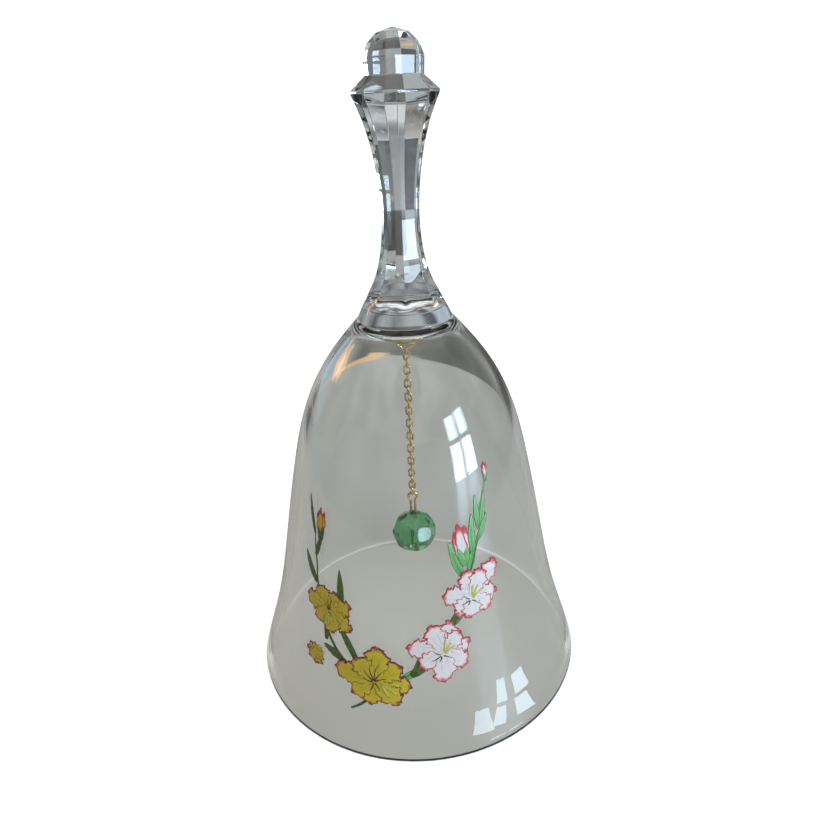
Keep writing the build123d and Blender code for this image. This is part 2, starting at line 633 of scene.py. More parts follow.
@dataclass(frozen=True)
class StudioPaper:
    """White backdrop paper. The glass sees it as a grey table in a room, all painted light and shade and
    painted reflections that glow, so that clear walls and edges read.

    Attributes:
        name: the material's name.
        colour: the paper's display colour.
        painted_table: (distance in metres, scene-linear colour) of the table, from the middle outwards: painted
            light and shade, lighter under the bell, a painted bright ring just outside the lip and greyer
            beyond.
        room: (degrees from the front, scene-linear colour) of the far floor, all the way round: painted light
            and dark bands that the glass shows as reflections.
        wall: (degrees from the front, scene-linear colour) of the wall, all the way round: painted light and
            dark bands, cool and warm, that the glass shows as reflections.
        edge: distances where the round table starts and ends its change to far floor, in metres.
        wall_from: distances where the far floor starts and ends its change to wall.
        back: (X share, Y share) of the direction that the table's straight back edge is measured along.
        back_edge: distances of the table's back edge and of the far side of the strip behind it.
        back_blur: half the width of each of those two changes.
        warm_reflection_strip: scene-linear colour of the painted warm strip behind the table's left half, which
            the glass shows as a warm reflection.
        strip_end: X where the strip starts, and where it is full.
        painted_glow: how strongly the paper glows with painted light, as the glass sees it and as the camera
            does.
        polish: roughness of the table as the glass sees it.
        matt: roughness of the paper as the camera sees it.
    """

    name: str
    colour: Colour
    painted_table: tuple[tuple[float, Colour], ...]
    room: tuple[tuple[float, Colour], ...]
    wall: tuple[tuple[float, Colour], ...]
    edge: tuple[float, float] = (0.26, 0.275)
    wall_from: tuple[float, float] = (0.86, 0.92)
    back: tuple[float, float] = (0.255, 0.967)
    back_edge: tuple[float, float] = (0.238, 0.252)
    back_blur: tuple[float, float] = (0.002, 0.003)
    warm_reflection_strip: Colour = (0.85, 0.5, 0.24)
    strip_end: tuple[float, float] = (-0.004, -0.014)
    painted_glow: tuple[float, float] = (0.35, 0.6)
    polish: float = 0.4
    matt: float = 0.95

    @staticmethod
    def blend(
        bench: Bench, share: bpy.types.NodeSocket, low: bpy.types.NodeSocket, high: bpy.types.NodeSocket
    ) -> bpy.types.NodeSocket:
        """Mix two colours by a share.

        Args:
            bench: the material being built.
            share: how much of the second colour.
            low: the first colour.
            high: the second colour.

        Returns:
            The mixed colour's socket.
        """
        mixer = bench.node("ShaderNodeMix", data_type="RGBA")
        entries = [socket for socket in mixer.inputs if socket.type == "RGBA"]
        bench.tree.links.new(share, mixer.inputs["Factor"])
        bench.tree.links.new(low, entries[0])
        bench.tree.links.new(high, entries[1])
        return [socket for socket in mixer.outputs if socket.type == "RGBA"][0]

    @staticmethod
    def step(
        bench: Bench, far: bpy.types.Node, span: tuple[float, float], output: str = "Value"
    ) -> bpy.types.NodeSocket:
        """Make a share that rises from nought to one over a span of distance.

        Args:
            bench: the material being built.
            far: the node that gives the distance.
            span: the distances where the rise starts and ends.
            output: the node's output that holds the distance.

        Returns:
            The share's socket.
        """
        rise = bench.node("ShaderNodeMapRange")
        rise.inputs["From Min"].default_value, rise.inputs["From Max"].default_value = span
        bench.join(far, output, rise, "Value")
        return rise.outputs["Result"]

    @staticmethod
    def round_turn(bench: Bench, split: bpy.types.Node) -> bpy.types.Node:
        """Make the share of a turn about the axis, a half at the front and rising to the right.

        Args:
            bench: the material being built.
            split: the node that gives X and Y.

        Returns:
            The node whose value is the share.
        """
        behind = bench.node("ShaderNodeMath", operation="MULTIPLY")
        behind.inputs[1].default_value = -1.0
        bench.join(split, "Y", behind, 0)
        bearing = bench.node("ShaderNodeMath", operation="ARCTAN2")
        bench.join(split, "X", bearing, 0)
        bench.join(behind, "Value", bearing, 1)
        turn = bench.node("ShaderNodeMath", operation="MULTIPLY_ADD")
        turn.inputs[1].default_value = 0.5 / math.pi
        turn.inputs[2].default_value = 0.5
        bench.join(bearing, "Value", turn, 0)
        return turn

    def surroundings(self, bench: Bench) -> bpy.types.NodeSocket:
        """Lay out the painted light and shade that the glass sees: the table, the warm strip behind it, the far
        floor and the wall.

        Args:
            bench: the material being built.

        Returns:
            The colour's socket.
        """
        place = bench.node("ShaderNodeTexCoord")
        far = bench.node("ShaderNodeVectorMath", operation="LENGTH")
        bench.join(place, "Object", far, 0)
        split = bench.node("ShaderNodeSeparateXYZ")
        bench.join(place, "Object", split, 0)
        turn = self.round_turn(bench, split)
        share = bench.node("ShaderNodeMath", operation="DIVIDE")
        share.inputs[1].default_value = self.edge[0]
        bench.join(far, "Value", share, 0)
        # painted light and shade of the table, the far floor and the wall, as the glass sees them
        painted_table = bench.ramp(share, "Value", [(spot / self.edge[0], (*tone, 1)) for spot, tone in self.painted_table])
        room = bench.ramp(turn, "Value", [(spot / 360 + 0.5, (*tone, 1)) for spot, tone in self.room])
        wall = bench.ramp(turn, "Value", [(spot / 360 + 0.5, (*tone, 1)) for spot, tone in self.wall])
        climbing = self.step(bench, far, self.wall_from)
        beyond = self.blend(bench, climbing, room.outputs["Color"], wall.outputs["Color"])
        along = bench.node("ShaderNodeVectorMath", operation="DOT_PRODUCT")
        along.inputs[1].default_value = (*self.back, 0.0)
        bench.join(place, "Object", along, 0)
        past_table, past_strip = [
            self.step(bench, along, (edge - blur, edge + blur))
            for edge, blur in zip(self.back_edge, self.back_blur)
        ]
        leftward = self.step(bench, split, self.strip_end, "X")
        # painted warm strip, seen in the glass as a warm reflection
        warm_reflection_strip = bench.node("ShaderNodeRGB")
        warm_reflection_strip.outputs[0].default_value = (*self.warm_reflection_strip, 1.0)
        behind_table = self.blend(bench, leftward, beyond, warm_reflection_strip.outputs[0])
        behind_table = self.blend(bench, past_strip, behind_table, beyond)
        seen = self.blend(bench, self.step(bench, far, self.edge), painted_table.outputs["Color"], beyond)
        return self.blend(bench, past_table, seen, behind_table)

    def make(self) -> bpy.types.Material:
        """Build the material.

        Returns:
            The material.
        """
        bench = Bench(self.name)
        seen = self.surroundings(bench)
        paths = bench.node("ShaderNodeLightPath")
        white = bench.node("ShaderNodeRGB")
        white.outputs[0].default_value = linear(self.colour)
        shown = self.blend(bench, paths.outputs["Is Camera Ray"], seen, white.outputs[0])
        bench.tree.links.new(shown, bench.surface.inputs["Base Color"])
        bench.tree.links.new(shown, bench.surface.inputs["Emission Color"])
        # The paper glows with painted light: dimmer where the glass sees its painted table and room, brighter
        # where the camera sees even white.
        to_glass, to_camera = self.painted_glow
        levels = (
            ("Roughness", self.matt - self.polish, self.polish),
            ("Emission Strength", to_camera - to_glass, to_glass),
        )
        for entry, scale, base in levels:
            level = bench.node("ShaderNodeMath", operation="MULTIPLY_ADD")
            level.inputs[1].default_value = scale
            level.inputs[2].default_value = base
            bench.join(paths, "Is Camera Ray", level, 0)
            bench.join(level, "Value", bench.surface, entry)
        return bench.material


STUDIO_PAPER = StudioPaper(
    "studio_paper",
    (246, 246, 246),
    painted_table=(
        # painted light and shade: lighter under the bell, greyer further out
        (0.0, (0.64, 0.62, 0.57)),
        (0.044, (0.6, 0.58, 0.53)),
        (0.0454, (0.62, 0.61, 0.58)),
        # painted bright ring just outside the lip, brighter than white, so that the lip reads pale
        (0.0457, (2.0, 2.0, 1.95)),
        (0.0465, (2.0, 2.0, 1.95)),
        (0.0468, (0.5, 0.49, 0.46)),
        (0.05, (0.43, 0.42, 0.395)),
        (0.12, (0.39, 0.385, 0.37)),
        (0.26, (0.4, 0.395, 0.385)),
    ),
    # painted light and dark bands, seen in the glass as reflections
    room=(
        (-180, (0.07, 0.07, 0.065)),
        (-171, (0.07, 0.07, 0.065)),
        (-165, (0.42, 0.43, 0.42)),
        (-149, (0.42, 0.43, 0.42)),
        (-143, (0.05, 0.048, 0.045)),
        (-128, (0.06, 0.06, 0.06)),
        (-116, (0.3, 0.34, 0.37)),
        (-98, (0.3, 0.34, 0.37)),
        (-86, (0.08, 0.08, 0.07)),
        (-62, (0.3, 0.29, 0.27)),
        (-32, (0.08, 0.08, 0.08)),
        (4, (0.26, 0.26, 0.27)),
        (30, (0.1, 0.1, 0.1)),
        (60, (0.3, 0.31, 0.33)),
        (88, (0.08, 0.08, 0.08)),
        (116, (0.28, 0.28, 0.28)),
        (136, (0.05, 0.048, 0.042)),
        (162, (0.04, 0.038, 0.032)),
        (180, (0.07, 0.07, 0.065)),
    ),
    # painted light and dark bands, cool and warm, seen in the glass as reflections
    wall=(
        (-180, (0.42, 0.42, 0.42)),
        (-168, (0.46, 0.46, 0.46)),
        (-162, (0.1, 0.1, 0.1)),
        (-153, (0.08, 0.08, 0.08)),
        (-148, (0.44, 0.52, 0.58)),
        (-118, (0.5, 0.58, 0.64)),
        (-112, (0.12, 0.12, 0.12)),
        (-96, (0.5, 0.36, 0.2)),
        (-84, (0.12, 0.11, 0.1)),
        (-60, (0.45, 0.44, 0.42)),
        (-38, (0.1, 0.1, 0.1)),
        (-12, (0.4, 0.4, 0.4)),
        (12, (0.1, 0.1, 0.1)),
        (34, (0.5, 0.54, 0.58)),
        (66, (0.5, 0.54, 0.58)),
        (78, (0.08, 0.08, 0.08)),
        (96, (0.45, 0.45, 0.45)),
        (116, (0.12, 0.12, 0.12)),
        (134, (0.4, 0.4, 0.38)),
        (148, (0.07, 0.07, 0.07)),
        (158, (0.44, 0.44, 0.44)),
        (170, (0.2, 0.2, 0.2)),
        (180, (0.42, 0.42, 0.42)),
    ),
)

CUP_GLASS = Glass("blown_clear_glass", (244, 246, 245), (240, 243, 242), ripple=0.02)
HANDLE_GLASS = Glass("pressed_clear_glass", (238, 241, 243), (230, 235, 238), smudge=0.015)
WETTED_FACE = WettedFace("wetted_glass_face")
BOND_FILM = WettedFace("clear_bond_film", (252, 252, 246), (246, 247, 238))
CEMENT_DOME = Glass("amber_cement", (222, 200, 112), (208, 182, 92), index=1.49, smudge=0.06)
BEAD_GLASS = Glass("emerald_cut_glass", (112, 196, 134), (98, 188, 122), index=1.54, smudge=0.01)
CHAIN_GILT = Gilt("dulled_gilt_chain", (250, 218, 146), (176, 134, 74), gloss=0.16, wear=0.4)
WIRE_GILT = Gilt("bright_gilt_wire", (250, 220, 146), (184, 144, 80), gloss=0.14, wear=0.35)
PLATE_GILT = Gilt("gilt_eye_plate", (240, 206, 128), (170, 134, 70), gloss=0.25, wear=0.45, grain=500.0)


# ---------------------------------------------------------------- blown cup


@dataclass
class BlownCup:
    """The cup: an even blown wall under a thick crown, with a fire-polished lip.

    Attributes:
        mouth: outside radius of the lip.
        outline: (radius, height) of the outside, from the lip to the seat.
        wall: thickness of the blown wall.
        lip: thickness of the glass at the lip.
        seat: (radius, height) of the flat that carries the handle.
        crown_turn: (radius, height) where the wall turns into the ceiling.
        ceiling: (radius, height) of the inside of the crown.
        stray: how far the blown surface strays from true, in millimetres.
        around: points in each ring.
        samples: points along the outside.
        outside: those points, worked out from the outline.
    """

    mouth: float = 46.1
    outline: tuple[Point, ...] = (
        (46.1, 0.0),
        (42.3, 11.0),
        (39.3, 21.0),
        (34.4, 44.0),
        (30.6, 62.0),
        (26.5, 76.5),
        (20.6, 88.0),
        (11.5, 99.2),
    )
    wall: float = 1.9
    lip: float = 2.3
    seat: Point = (11.5, 99.2)
    crown_turn: tuple[Point, ...] = ((12.3, 95.35), (10.8, 96.4))
    ceiling: Point = (8.8, 96.9)
    stray: float = 0.035
    around: int = 288
    samples: int = 130
    outside: np.ndarray = field(init=False)

    def __post_init__(self) -> None:
        """Sample the outside once; other pieces read it."""
        self.outside = smooth_curve(self.outline, self.samples)

    def radius_at(self, height: float) -> float:
        """Outside radius at a height, in millimetres."""
        return float(np.interp(height, self.outside[:, 1], self.outside[:, 0]))

    def blown(self, radius: float, angle: float, height: float) -> float:
        """How far the hot glass strays from a true turned shape.

        Args:
            radius: radius of the true shape.
            angle: angle about the axis, in radians.
            height: height above the mouth.

        Returns:
            The stray outwards, in millimetres, none at the axis.
        """
        spot = Vector((1.6 * math.cos(angle), 1.6 * math.sin(angle), height / 24))
        hold = min(1.0, radius / 20)
        return self.stray * hold * noise.noise(spot + Vector((3.1, 0.0, 0.04 * radius)))

    def section(self) -> list[Point]:
        """Draw the section, from the middle of the seat round the lip to the middle of the ceiling.

        Returns:
            (radius, height) pairs in order.
        """
        heading = np.gradient(self.outside, axis=0)
        heading /= np.linalg.norm(heading, axis=1)[:, None]
        inward = np.stack([-heading[:, 1], heading[:, 0]], axis=1)
        kept = int(0.95 * self.samples)
        inside = self.outside[8:kept] + inward[8:kept] * self.wall
        turn = smooth_curve([tuple(inside[-7]), tuple(inside[-1]), *self.crown_turn, self.ceiling], 60)
        crown = turn[turn[:, 1] > inside[-1][1] + 0.05]
        lip_in = self.mouth - self.lip
        foot = soften([tuple(self.outside[5]), (self.mouth, 0.0), (lip_in, 0.0), tuple(inside[0])], 1.15, 7)
        down = [tuple(spot) for spot in self.outside[6:][::-1]]
        seat = [(0.4, self.seat[1]), (self.seat[0] * 0.5, self.seat[1]), (10.9, self.seat[1])]
        up = [tuple(spot) for spot in inside[1:]]
        roof = [tuple(spot) for spot in crown] + [(5.5, self.ceiling[1]), (0.4, self.ceiling[1])]
        return seat + down + foot + up + roof

    def build(self) -> bpy.types.Object:
        """Blow the cup and dress it.

        Returns:
            The cup.
        """
        cup = turned("blown_cup", self.section(), self.around, self.blown)
        wet(cup, 1, [self.seat[1]], 10.9)
        wet(cup, 1, [self.ceiling[1]], 5.5)
        return fit_out(cup, Body.BELL.value, [CUP_GLASS.make(), WETTED_FACE.make()], ["bell_cup"])

    def on_surface(self, azimuth: float, height: float, lift: float) -> tuple[float, float, float]:
        """A place on or just above the outside.

        Args:
            azimuth: degrees from the front, positive to the right.
            height: height above the mouth, in millimetres.
            lift: how far above the glass, in millimetres.

        Returns:
            The place, in millimetres.
        """
        angle = math.radians(azimuth - 90)
        radius = self.radius_at(height)
        reach = radius + self.blown(radius, angle, height) + lift
        return (reach * math.cos(angle), reach * math.sin(angle), height)


# ---------------------------------------------------------------- pressed handle


@dataclass
class PressedHandle:
    """The handle: eight long flats from a round foot to a collar, and a knob of flat tiers.

    Attributes:
        flats: (distance of the flats, height) along the flute, foot to collar.
        foot: (radius, height) of the round foot that the flats run out on.
        head: (distance of the flats, height) of the collar's edge and the knob's tiers.
        edge: radius of the polished edge between two flats.
        facets: how many flats go round.
        corner_steps: degrees from a corner at which a ring has points.
        run_out: how softly the flats run out on the foot.
    """

    flats: tuple[Point, ...] = (
        (14.0, 99.38),
        (10.2, 102.4),
        (7.3, 106.4),
        (4.95, 113.5),
        (4.05, 123.5),
        (4.85, 134.0),
        (6.9, 143.0),
        (8.8, 148.0),
    )
    foot: tuple[Point, ...] = ((11.4, 99.38), (10.3, 101.7), (8.5, 105.2), (7.6, 107.6))
    head: tuple[Point, ...] = (
        (8.8, 148.0),
        (8.8, 148.5),
        (5.8, 151.3),
        (5.95, 154.8),
        (5.0, 157.3),
        (3.2, 159.1),
        (0.5, 159.96),
    )
    edge: float = 0.28
    facets: int = 8
    corner_steps: tuple[float, ...] = (0.0, 0.45, 0.9, 1.4, 2.2, 5.0, 10.0, 16.0, 22.5)
    run_out: float = 0.12

    def levels(self) -> list[Point]:
        """Distance of the flats at each level, foot to knob, with the level edges lightly rounded."""
        flute = [(float(r), float(z)) for r, z in smooth_curve(self.flats, 120)]
        return flute[:-1] + soften([flute[-2], *self.head], 0.16, 3)[1:]

    def turns(self) -> list[float]:
        """Degrees from each corner at which a ring has points, close together near the corner."""
        steps = list(self.corner_steps)
        return [-step for step in reversed(steps[1:-1])] + steps

    def reach(self, flat: float, away: float, envelope: float) -> float:
        """Radius of the section at an angle from a corner.

        Args:
            flat: distance of the flats from the axis.
            away: degrees from the nearest corner.
            envelope: radius of the round foot at this height.

        Returns:
            The radius, in millimetres.
        """
        half = math.radians(180 / self.facets)
        edge = min(self.edge, 0.35 * flat)
        off = math.radians(abs(away))
        corner = (flat - edge) / math.cos(half)
        tangent = half - math.atan((flat - edge) * math.tan(half) / flat)
        if off < tangent:
            sharp = corner * math.cos(off) + math.sqrt(max(0.0, edge**2 - (corner * math.sin(off)) ** 2))
        else:
            sharp = flat / math.cos(half - off)
        share = max(0.0, min(1.0, 0.5 + (envelope - sharp) / (2 * self.run_out)))
        return envelope * (1 - share) + sharp * share - self.run_out * share * (1 - share)

    def build(self) -> bpy.types.Object:
        """Press the handle and dress it.

        Returns:
            The handle.
        """
        foot = smooth_curve(self.foot, 40)
        rings = []
        for flat, height in self.levels():
            on_foot = height < foot[-1][1]
            round_foot = float(np.interp(height, foot[:, 1], foot[:, 0])) if on_foot else NO_LIMIT
            ring = []
            for corner in range(self.facets):
                for turn in self.turns():
                    angle = math.radians(corner * 360 / self.facets + turn)
                    reach = self.reach(flat, turn, round_foot)
                    ring.append((reach * math.cos(angle), reach * math.sin(angle), height))
            rings.append(ring)
        handle = stack_rings("pressed_handle", rings)
        wet(handle, 1, [self.flats[0][1]], 12.0)
        finishes = [HANDLE_GLASS.make(), WETTED_FACE.make()]
        return fit_out(handle, Body.BELL.value, finishes, ["handle"])


# ---------------------------------------------------------------- crown fittings


@dataclass
class CrownFittings:
    """What joins the handle to the crown, and what hangs the chain under it.

    Attributes:
        film: (radius, underside, top) of the bond under the handle.
        dome: (radius, height) of the cement's side, from the ceiling to the plate.
        plate: (radius, underside, top) of the eye plate.
        bail: corners of the V of wire, in the plane that faces the front.
        bail_wire: radius of the bail's wire.
    """

    film: tuple[float, float, float] = (11.0, 99.225, 99.33)
    dome: tuple[Point, ...] = ((5.6, 96.87), (5.35, 96.3), (4.8, 95.5), (4.1, 94.95), (3.55, 94.62))
    plate: tuple[float, float, float] = (3.5, 94.1, 94.6)
    bail: tuple[Point, ...] = (
        (-2.1, 94.2),
        (-2.1, 93.4),
        (-0.75, 91.2),
        (0.75, 91.2),
        (2.1, 93.4),
        (2.1, 94.2),
    )
    bail_wire: float = 0.3

    def build_film(self) -> bpy.types.Object:
        """The clear film between the crown and the handle's foot.

        Returns:
            The film.
        """
        radius, low, high = self.film
        section = soften([(0.2, low), (radius, low), (radius, high), (0.2, high)], 0.05, 2)
        film = turned("bond_film", section, 96)
        return fit_out(film, Body.BELL.value, [BOND_FILM.make()], ["foot_bond"])

    def build_dome(self) -> bpy.types.Object:
        """The dome of cement, drawn from the ceiling down to the plate.

        Returns:
            The dome.
        """
        side = [tuple(spot) for spot in smooth_curve(self.dome, 18)]
        section = [(0.2, self.dome[0][1]), (4.8, self.dome[0][1]), *side, (0.2, self.dome[-1][1])]
        dome = turned("cement_dome", section, 96)
        wet(dome, 1, [self.dome[0][1], self.dome[-1][1]], self.dome[0][0])
        finishes = [CEMENT_DOME.make(), WETTED_FACE.make()]
        return fit_out(dome, Body.BELL.value, finishes, ["eye_cement"])

    def build_plate(self) -> bpy.types.Object:
        """The stamped eye plate, with a rolled edge and a shallow ring.

        Returns:
            The plate.
        """
        radius, low, high = self.plate
        section = soften(
            [
                (0.15, low + 0.05),
                (1.0, low + 0.05),
                (1.3, low),
                (2.5, low),
                (2.7, low + 0.08),
                (3.0, low + 0.08),
                (3.15, low),
                (radius, low),
                (radius, high),
                (0.15, high),
            ],
            0.14,
            4,
        )
        plate = turned("eye_plate_disc", section, 96)
        return fit_out(plate, Body.BELL.value, [PLATE_GILT.make()], ["eye_plate"])

    def build_bail(self) -> bpy.types.Object:
        """The bail: wire bent to a blunt V and brazed to the plate at its feet.

        Returns:
            The bail.
        """
        line = [(x, 0.0, z) for x, z in soften(self.bail, 0.45, 6)]
        bail = wire("bail_wire", line, self.bail_wire, closed=False)
        return fit_out(bail, Body.BELL.value, [WIRE_GILT.make()], ["bail"])

    def build(self) -> list[bpy.types.Object]:
        """Make all four."""
        return [self.build_film(), self.build_dome(), self.build_plate(), self.build_bail()]


# ---------------------------------------------------------------- chain and clapper


@dataclass
class CableChain:
    """Oval gilt links, each turned a quarter from the one above.

    Attributes:
        links: how many.
        wire: radius of the wire.
        corner: radius of a link's ends, to the middle of the wire.
        steps: points on each rounded end and each straight side.
        seam: how far the butt joint is drawn in.
    """

    links: int = 23
    wire: float = 0.25
    corner: float = 0.65
    steps: int = 9
    seam: float = 0.035

    def outline(self, across: float, low: float, high: float) -> list[Point]:
        """One link's middle line, a rounded box.

        Args:
            across: half its width.
            low: height of its lower end.
            high: height of its upper end.

        Returns:
            Points round the link.
        """
        line = []
        for side_x, side_z, start in ((1, 1, 0), (-1, 1, 90), (-1, -1, 180), (1, -1, 270)):
            middle_x = side_x * (across - self.corner)
            middle_z = high - self.corner if side_z > 0 else low + self.corner
            for step in range(self.steps):
                turn = math.radians(start + 90 * step / (self.steps - 1))
                line.append((middle_x + self.corner * math.cos(turn), middle_z + self.corner * math.sin(turn)))
        return line

    def build_link(self, number: int, finish: bpy.types.Material) -> bpy.types.Object:
        """Bend one link where its CAD node hangs.

        Args:
            number: its place from the top, from one.
            finish: the chain's material.

        Returns:
            The link.
        """
        node = f"link_{number:02d}"
        low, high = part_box(node)
        size = (high - low) / MM
        side_on = size.y > size.x
        across = max(size.x, size.y) / 2 - self.wire
        line = self.outline(across, low.z / MM + self.wire, high.z / MM - self.wire)
        path = [(0.0, x, z) if side_on else (x, 0.0, z) for x, z in line]
        link = wire(f"chain_link_{number:02d}", path, self.wire, closed=True, sides=14)
        self.press_seam(link, path[(self.steps * (2 if number % 3 else 4)) - 1])
        return fit_out(link, node, [finish], [node])

    def press_seam(self, link: bpy.types.Object, joint: Sequence[float]) -> None:
        """Draw the wire in a little where a link's ends butt together.

        Args:
            link: the link.
            joint: where its joint is, on the middle of the wire.
        """
        spot = Vector(joint) * MM
        for corner in link.data.vertices:
            if (corner.co - spot).length < self.wire * 1.05 * MM:
                corner.co += (spot - corner.co).normalized() * self.seam * MM

    def build(self) -> list[bpy.types.Object]:
        """Make every link."""
        finish = CHAIN_GILT.make()
        return [self.build_link(number, finish) for number in range(1, self.links + 1)]


@dataclass
class Clapper:
    """The green cut bead and the split pin that hangs it.

    Attributes:
        eye: radius of the pin's eye, to the middle of the wire.
        spread: half the distance between the pin's legs.
        neck: radius of the bend between the eye and a leg.
        wire: radius of the pin's wire.
        rows: (latitude, stagger) of the bead's rows of flats.
        around: flats in a row.
        sits: degrees that the bead is turned about its pin.
        flat: distance of the flats from the bead's middle.
        pole: half the bead's height.
        reach: the bead's greatest radius.
        bore: radius of the drilled hole.
        bevel: width of the polished edge between two flats.
    """

    eye: float = 1.2
    spread: float = 0.6
    neck: float = 0.6
    wire: float = 0.35
    rows: tuple[tuple[float, float], ...] = ((19.5, 0.0), (-19.5, 0.5), (53.0, 0.5), (-53.0, 0.0))
    around: int = 8
    sits: float = -15.4
    flat: float = 5.62
    pole: float = 5.75
    reach: float = 6.0
    bore: float = 0.97
    bevel: float = 0.07

    def pin_path(self) -> list[tuple[float, float, float]]:
        """The pin's middle line: up one leg, round the eye and down the other.

        Returns:
            Places along it, in millimetres.
        """
        low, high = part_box("split_pin")
        foot = low.z / MM
        eye_z = high.z / MM - self.wire - self.eye
        drop = math.sqrt((self.eye + self.neck) ** 2 - (self.spread + self.neck) ** 2)
        lean = math.asin(drop / (self.eye + self.neck))
        side = [(self.spread, foot + (eye_z - drop - foot) * step / 6) for step in range(6)]
        for step in range(7):
            turn = math.pi - lean * step / 6
            across = self.spread + self.neck + self.neck * math.cos(turn)
            side.append((across, eye_z - drop + self.neck * math.sin(turn)))
        for step in range(1, 17):
            turn = -lean + (math.pi / 2 + lean) * step / 16
            side.append((self.eye * math.cos(turn), eye_z + self.eye * math.sin(turn)))
        other = [(-x, z) for x, z in reversed(side[:-1])]
        return [(x, 0.0, z) for x, z in side + other]

    def build_pin(self) -> bpy.types.Object:
        """Bend the split pin."""
        pin = wire("split_pin_wire", self.pin_path(), self.wire, closed=False, sides=18, ends=0.08)
        return fit_out(pin, Body.CLAPPER.value, [WIRE_GILT.make()], ["split_pin"])

    def cut_flats(self, middle: float) -> bmesh.types.BMesh:
        """Cut the bead's flats from a block.

        Args:
            middle: height of the bead's middle, in millimetres.

        Returns:
            The cut solid, in millimetres.
        """
        form = bmesh.new()
        bmesh.ops.create_cube(form, size=2 * self.reach + 4, matrix=Matrix.Translation((0, 0, middle)))
        facings = [(Vector((0, 0, 1)), self.pole), (Vector((0, 0, -1)), self.pole)]
        for latitude, stagger in self.rows:
            tilt = math.radians(latitude)
            for place in range(self.around):
                turn = 2 * math.pi * (place + stagger) / self.around + math.radians(self.sits)
                level = math.cos(tilt)
                facing = Vector((level * math.cos(turn), level * math.sin(turn), math.sin(tilt)))
                facings.append((facing, self.flat))
        for facing, distance in facings:
            parts = list(form.verts) + list(form.edges) + list(form.faces)
            cut = bmesh.ops.bisect_plane(
                form,
                geom=parts,
                dist=1e-6,
                plane_co=Vector((0, 0, middle)) + facing * distance,
                plane_no=facing,
                clear_outer=True,
            )
            rim = [part for part in cut["geom_cut"] if isinstance(part, bmesh.types.BMEdge)]
            if rim:
                bmesh.ops.contextual_create(form, geom=rim)
        return form

    def drill(self, form: bmesh.types.BMesh, middle: float) -> None:
        """Drill the bore from pole to pole.

        Args:
            form: the cut solid.
            middle: height of the bead's middle, in millimetres.
        """
        sides = 40
        rims = []
        for way in (1, -1):
            height = middle + way * self.pole
            cap = [
                face
                for face in form.faces
                if abs(face.normal.z) > LEVEL and abs(face.calc_center_median().z - height) < 0.05
            ]
            outer = list(
                {edge for face in cap for edge in face.edges if sum(f in cap for f in edge.link_faces) == 1}
            )
            bmesh.ops.delete(form, geom=cap, context="FACES_KEEP_BOUNDARY")
            ring = [
                form.verts.new((self.bore * math.cos(turn), self.bore * math.sin(turn), height))
                for turn in (2 * math.pi * step / sides for step in range(sides))
            ]
            inner = [form.edges.new((ring[step], ring[(step + 1) % sides])) for step in range(sides)]
            bmesh.ops.triangle_fill(form, use_beauty=True, use_dissolve=False, edges=outer + inner)
            rims.append(ring)
        for step in range(sides):
            after = (step + 1) % sides
            form.faces.new((rims[0][step], rims[0][after], rims[1][after], rims[1][step]))

    def build_bead(self) -> bpy.types.Object:
        """Cut, bevel and drill the bead.

        Returns:
            The bead.
        """
        low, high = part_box("bead")
        middle = (low.z + high.z) / 2 / MM
        form = self.cut_flats(middle)
        bmesh.ops.recalc_face_normals(form, faces=form.faces)
        bmesh.ops.bevel(form, geom=list(form.edges), offset=self.bevel, segments=2, profile=0.5, affect="EDGES")
        self.drill(form, middle)
        bmesh.ops.recalc_face_normals(form, faces=form.faces)
        mesh = bpy.data.meshes.new("cut_bead")
        form.to_mesh(mesh)
        form.free()
        mesh.transform(Matrix.Scale(MM, 4))
        bead = bpy.data.objects.new("cut_bead", mesh)
        bpy.context.scene.collection.objects.link(bead)
        return fit_out(bead, Body.CLAPPER.value, [BEAD_GLASS.make()], ["bead"])

    def build(self) -> list[bpy.types.Object]:
        """Make the pin and the bead."""
        return [self.build_pin(), self.build_bead()]


# ---------------------------------------------------------------- painted sprays


class Tone(Enum):
    """The colours on the painter's palette, each a piece of enamel of its own."""

    YELLOW = "yellow_petals"
    BLUSH = "blush_petals"
    OLIVE = "olive_leaves"
    SPRING = "spring_leaves"
    UMBER = "umber_lines"
    ROSE = "rose_lines"
    PINE = "pine_lines"
    STAMEN = "stamens"


PALETTE: dict[Tone, Enamel] = {
    Tone.YELLOW: Enamel(
        "yellow_enamel",
        (
            (0.0, (116, 92, 16)),
            (0.22, (184, 164, 32)),
            (0.66, (198, 176, 44)),
            (0.84, (184, 112, 56)),
            (1.0, (150, 48, 44)),
        ),
    ),
    Tone.BLUSH: Enamel(
        "blush_enamel",
        (
            (0.0, (176, 182, 150)),
            (0.25, (214, 208, 204)),
            (0.62, (220, 208, 206)),
            (0.82, (212, 124, 126)),
            (1.0, (186, 48, 58)),
        ),
    ),
    Tone.OLIVE: Enamel("olive_enamel", ((0.0, (44, 64, 26)), (0.5, (78, 102, 38)), (1.0, (112, 134, 64)))),
    Tone.SPRING: Enamel(
        "spring_enamel", ((0.0, (62, 124, 62)), (0.5, (116, 182, 106)), (1.0, (160, 208, 148)))
    ),
    Tone.UMBER: Enamel("umber_enamel", ((0.0, (58, 34, 20)), (1.0, (116, 52, 36))), mottle=0.4),
    Tone.ROSE: Enamel("rose_enamel", ((0.0, (136, 30, 40)), (1.0, (190, 56, 64))), mottle=0.4),
    Tone.PINE: Enamel("pine_enamel", ((0.0, (24, 40, 22)), (1.0, (50, 76, 36))), mottle=0.4),
    Tone.STAMEN: Enamel("stamen_enamel", ((0.0, (150, 150, 34)), (1.0, (206, 200, 84))), mottle=0.3),
}

# Millimetres from the glass to a patch's top and to its underside: (bare glass, for each coat under it).
COAT_LIFTS = ((0.05, 0.0035), (0.008, 0.0006))


